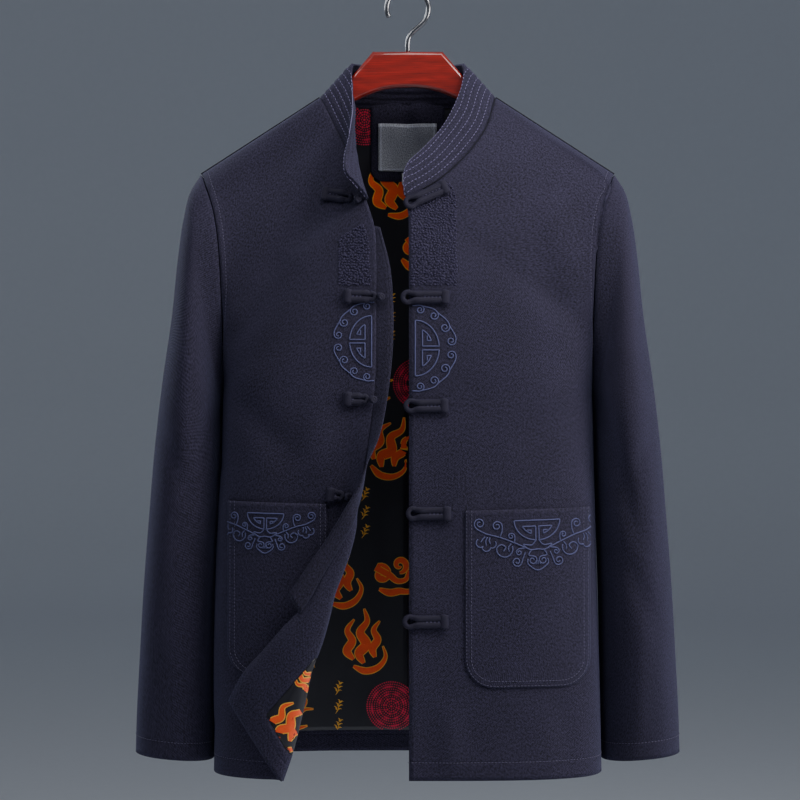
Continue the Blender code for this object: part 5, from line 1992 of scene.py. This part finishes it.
@functools.cache
def tab_cloth():
    """Folded cloth over the cords' ends."""
    colour = tuple(bpy.context.scene.jacket_colours.cord)
    finish = Finish(
        "folded_tab", Specular_IOR_Level=0.2, Sheen_Weight=0.12, Sheen_Roughness=0.4, Sheen_Tint=(*SHEEN, 1.0)
    )
    grain = finish.noise(finish.place(700.0, 700.0, 700.0), detail=3.0, roughness=0.7)
    x, _, z = finish.split(finish.place())
    ribs = ((x + z * 0.8) * (2 * math.pi / 1.2)).sine()
    shade = (grain * 0.8 + ribs * 0.12).clipped()
    return finish.paint(
        Base_Color=finish.tones(shade, colour, 0.6, 1.5),
        Roughness=0.6 + grain * 0.2, Normal=finish.relief(grain * 0.2 + ribs * 0.06),
    )


class JACKET_OT_hanger(bpy.types.Operator):
    """Make the lacquered hanger and its wire hook"""

    bl_idname = "jacket.hanger"
    bl_label = "Hanger and hook"

    def execute(self, context):
        top, arm = np.array(HANGER[:9]), np.array(HANGER[8:])
        under = smoothed([*arm, *(arm[-2:-4:-1] * [-1, 1])], 5.0)
        half = [*top[:-1], *under[under[:, 0] >= -0.01]]
        outline = np.array([*half, *[(-x, z) for x, z in half[-2:0:-1]]])
        made = bmesh.new()
        near = [made.verts.new((x * MM, -HANGER_THICK / 2 * MM, z * MM)) for x, z in outline]
        grown = bmesh.ops.extrude_face_region(made, geom=[made.faces.new(near)])["geom"]
        far = [part for part in grown if isinstance(part, bmesh.types.BMVert)]
        bmesh.ops.translate(made, vec=(0.0, HANGER_THICK * MM, 0.0), verts=far)
        bmesh.ops.recalc_face_normals(made, faces=made.faces)
        mesh = bpy.data.meshes.new("hanger_wood")
        made.to_mesh(mesh)
        made.free()
        mesh.shade_smooth()
        mesh.materials.append(lacquer())
        obj = linked("hanger_wood", mesh)
        bevelled(obj, HANGER_EDGE, 6, 60).harden_normals = True
        set_down(obj, "lacquered_wood", "hanger")
        middle = WIRE - HOOK_RADIUS
        path = [(0.0, 0.0, HANGER[0][1] + GAP), (0.0, 0.0, STEM_TOP - 6.0), (1.2, 0.0, STEM_TOP)]
        for angle in np.radians(np.linspace(HOOK_FROM, HOOK_TO, 20)):
            path.append((HOOK_RADIUS * math.cos(angle), 0.0, middle + HOOK_RADIUS * math.sin(angle)))
        solid("wire_hook", [tube(smoothed(path, 1.5), WIRE, 1.0, 16)], polished_wire(), "hook_wire", "hook")
        return {"FINISHED"}


class JACKET_OT_stage(bpy.types.Operator):
    """Set the floor, the lights and the camera"""

    bl_idname = "jacket.stage"
    bl_label = "Stage"

    def execute(self, context):
        count = len(FLOOR_PROFILE)
        turns = np.radians(np.arange(0, 360, 7.5))
        points = [(r * math.cos(a), r * math.sin(a), FLOOR + up) for a in turns for r, up in FLOOR_PROFILE]
        faces = [
            (i * count + k + 1, j * count + k + 1, j * count + k, i * count + k)
            for i, j in zip(range(len(turns)), [*range(1, len(turns)), 0]) for k in range(count - 1)
        ]
        paper = mesh_object("studio_floor", points, faces, studio_paper())
        for name, place, power, size, colour in LIGHTS:
            data = bpy.data.lights.new(name, "AREA")
            data.energy = power
            data.size = size
            data.color = colour
            lamp = linked(name, data)
            lamp.location = place
            lamp.rotation_euler = (Vector(AIM) - Vector(place)).to_track_quat("-Z", "Y").to_euler()
        world = bpy.data.worlds.new("soft_room")
        world.use_nodes = True
        sky = world.node_tree.nodes["Background"].inputs
        sky["Color"].default_value = (*ROOM, 1.0)
        sky["Strength"].default_value = ROOM_LIGHT
        context.scene.world = world
        data = bpy.data.cameras.new("camera")
        data.lens = LENS
        data.sensor_width = 36.0
        data.clip_end = 50.0
        camera = linked("camera", data)
        camera.location = CAMERA
        camera.rotation_euler = (math.radians(90.0), 0.0, 0.0)
        context.scene.camera = camera
        return {"FINISHED"}


class JacketSewing(bpy.types.PropertyGroup):
    """Sizes of the sewing and embroidery"""

    spacing: bpy.props.FloatProperty(
        name="Stitch spacing", description="From one stitch to the next", default=0.0036, unit="LENGTH"
    )
    length: bpy.props.FloatProperty(
        name="Stitch length", description="Length of thread that shows", default=0.0025, unit="LENGTH"
    )
    thread: bpy.props.FloatProperty(
        name="Thread", description="Thickness of the sewing thread", default=0.0007, unit="LENGTH"
    )
    embroidery: bpy.props.FloatProperty(
        name="Embroidery cord", description="Thickness of the sewn-down cord", default=0.0014, unit="LENGTH"
    )
    knots: bpy.props.FloatProperty(
        name="Knots", description="From one knot of the chest bands to the next", default=0.0020,
        unit="LENGTH",
    )


class JacketColours(bpy.types.PropertyGroup):
    """Colours of the jacket's cloths and threads"""

    cloth: bpy.props.FloatVectorProperty(
        name="Cloth", description="Outer twill", default=(0.0185, 0.0158, 0.0330), subtype="COLOR"
    )
    cord: bpy.props.FloatVectorProperty(
        name="Frog cord", description="Cord of the fasteners", default=(0.0165, 0.0142, 0.0305),
        subtype="COLOR",
    )
    embroidery: bpy.props.FloatVectorProperty(
        name="Embroidery", description="Sewn-down cord", default=(0.082, 0.085, 0.185), subtype="COLOR"
    )
    orange: bpy.props.FloatVectorProperty(
        name="Lining orange", description="Main colour of the motifs", default=(0.98, 0.095, 0.012),
        subtype="COLOR",
    )
    yellow: bpy.props.FloatVectorProperty(
        name="Lining yellow", description="Outlines of the motifs", default=(0.98, 0.50, 0.050),
        subtype="COLOR",
    )
    red: bpy.props.FloatVectorProperty(
        name="Lining red", description="Rosettes", default=(0.78, 0.016, 0.080), subtype="COLOR"
    )


class JACKET_PT_pieces(bpy.types.Panel):
    """The jacket's pieces, in the order in which they are made"""

    bl_idname = "JACKET_PT_pieces"
    bl_label = "Tang jacket"
    bl_space_type = "VIEW_3D"
    bl_region_type = "UI"
    bl_category = "Jacket"

    def draw(self, context):
        for group in (context.scene.jacket_sewing, context.scene.jacket_colours):
            for label in group.bl_rna.properties.keys():
                if label not in ("rna_type", "name"):
                    self.layout.prop(group, label)
        for operator in OPERATORS:
            self.layout.operator(operator.bl_idname)


OPERATORS = (
    JACKET_OT_stage, JACKET_OT_fronts, JACKET_OT_back, JACKET_OT_sleeves, JACKET_OT_collar,
    JACKET_OT_lining, JACKET_OT_neck, JACKET_OT_pockets, JACKET_OT_sewing, JACKET_OT_embroidery,
    JACKET_OT_frogs, JACKET_OT_hanger,
)
CLASSES = (JacketSewing, JacketColours, *OPERATORS, JACKET_PT_pieces)


def register():
    for each in CLASSES:
        bpy.utils.register_class(each)
    bpy.types.Scene.jacket_sewing = bpy.props.PointerProperty(type=JacketSewing)
    bpy.types.Scene.jacket_colours = bpy.props.PointerProperty(type=JacketColours)


def unregister():
    del bpy.types.Scene.jacket_colours
    del bpy.types.Scene.jacket_sewing
    for each in reversed(CLASSES):
        bpy.utils.unregister_class(each)


def main():
    register()
    for operator in OPERATORS:
        getattr(bpy.ops.jacket, operator.bl_idname.split(".")[1])()


if __name__ == "__main__":
    main()
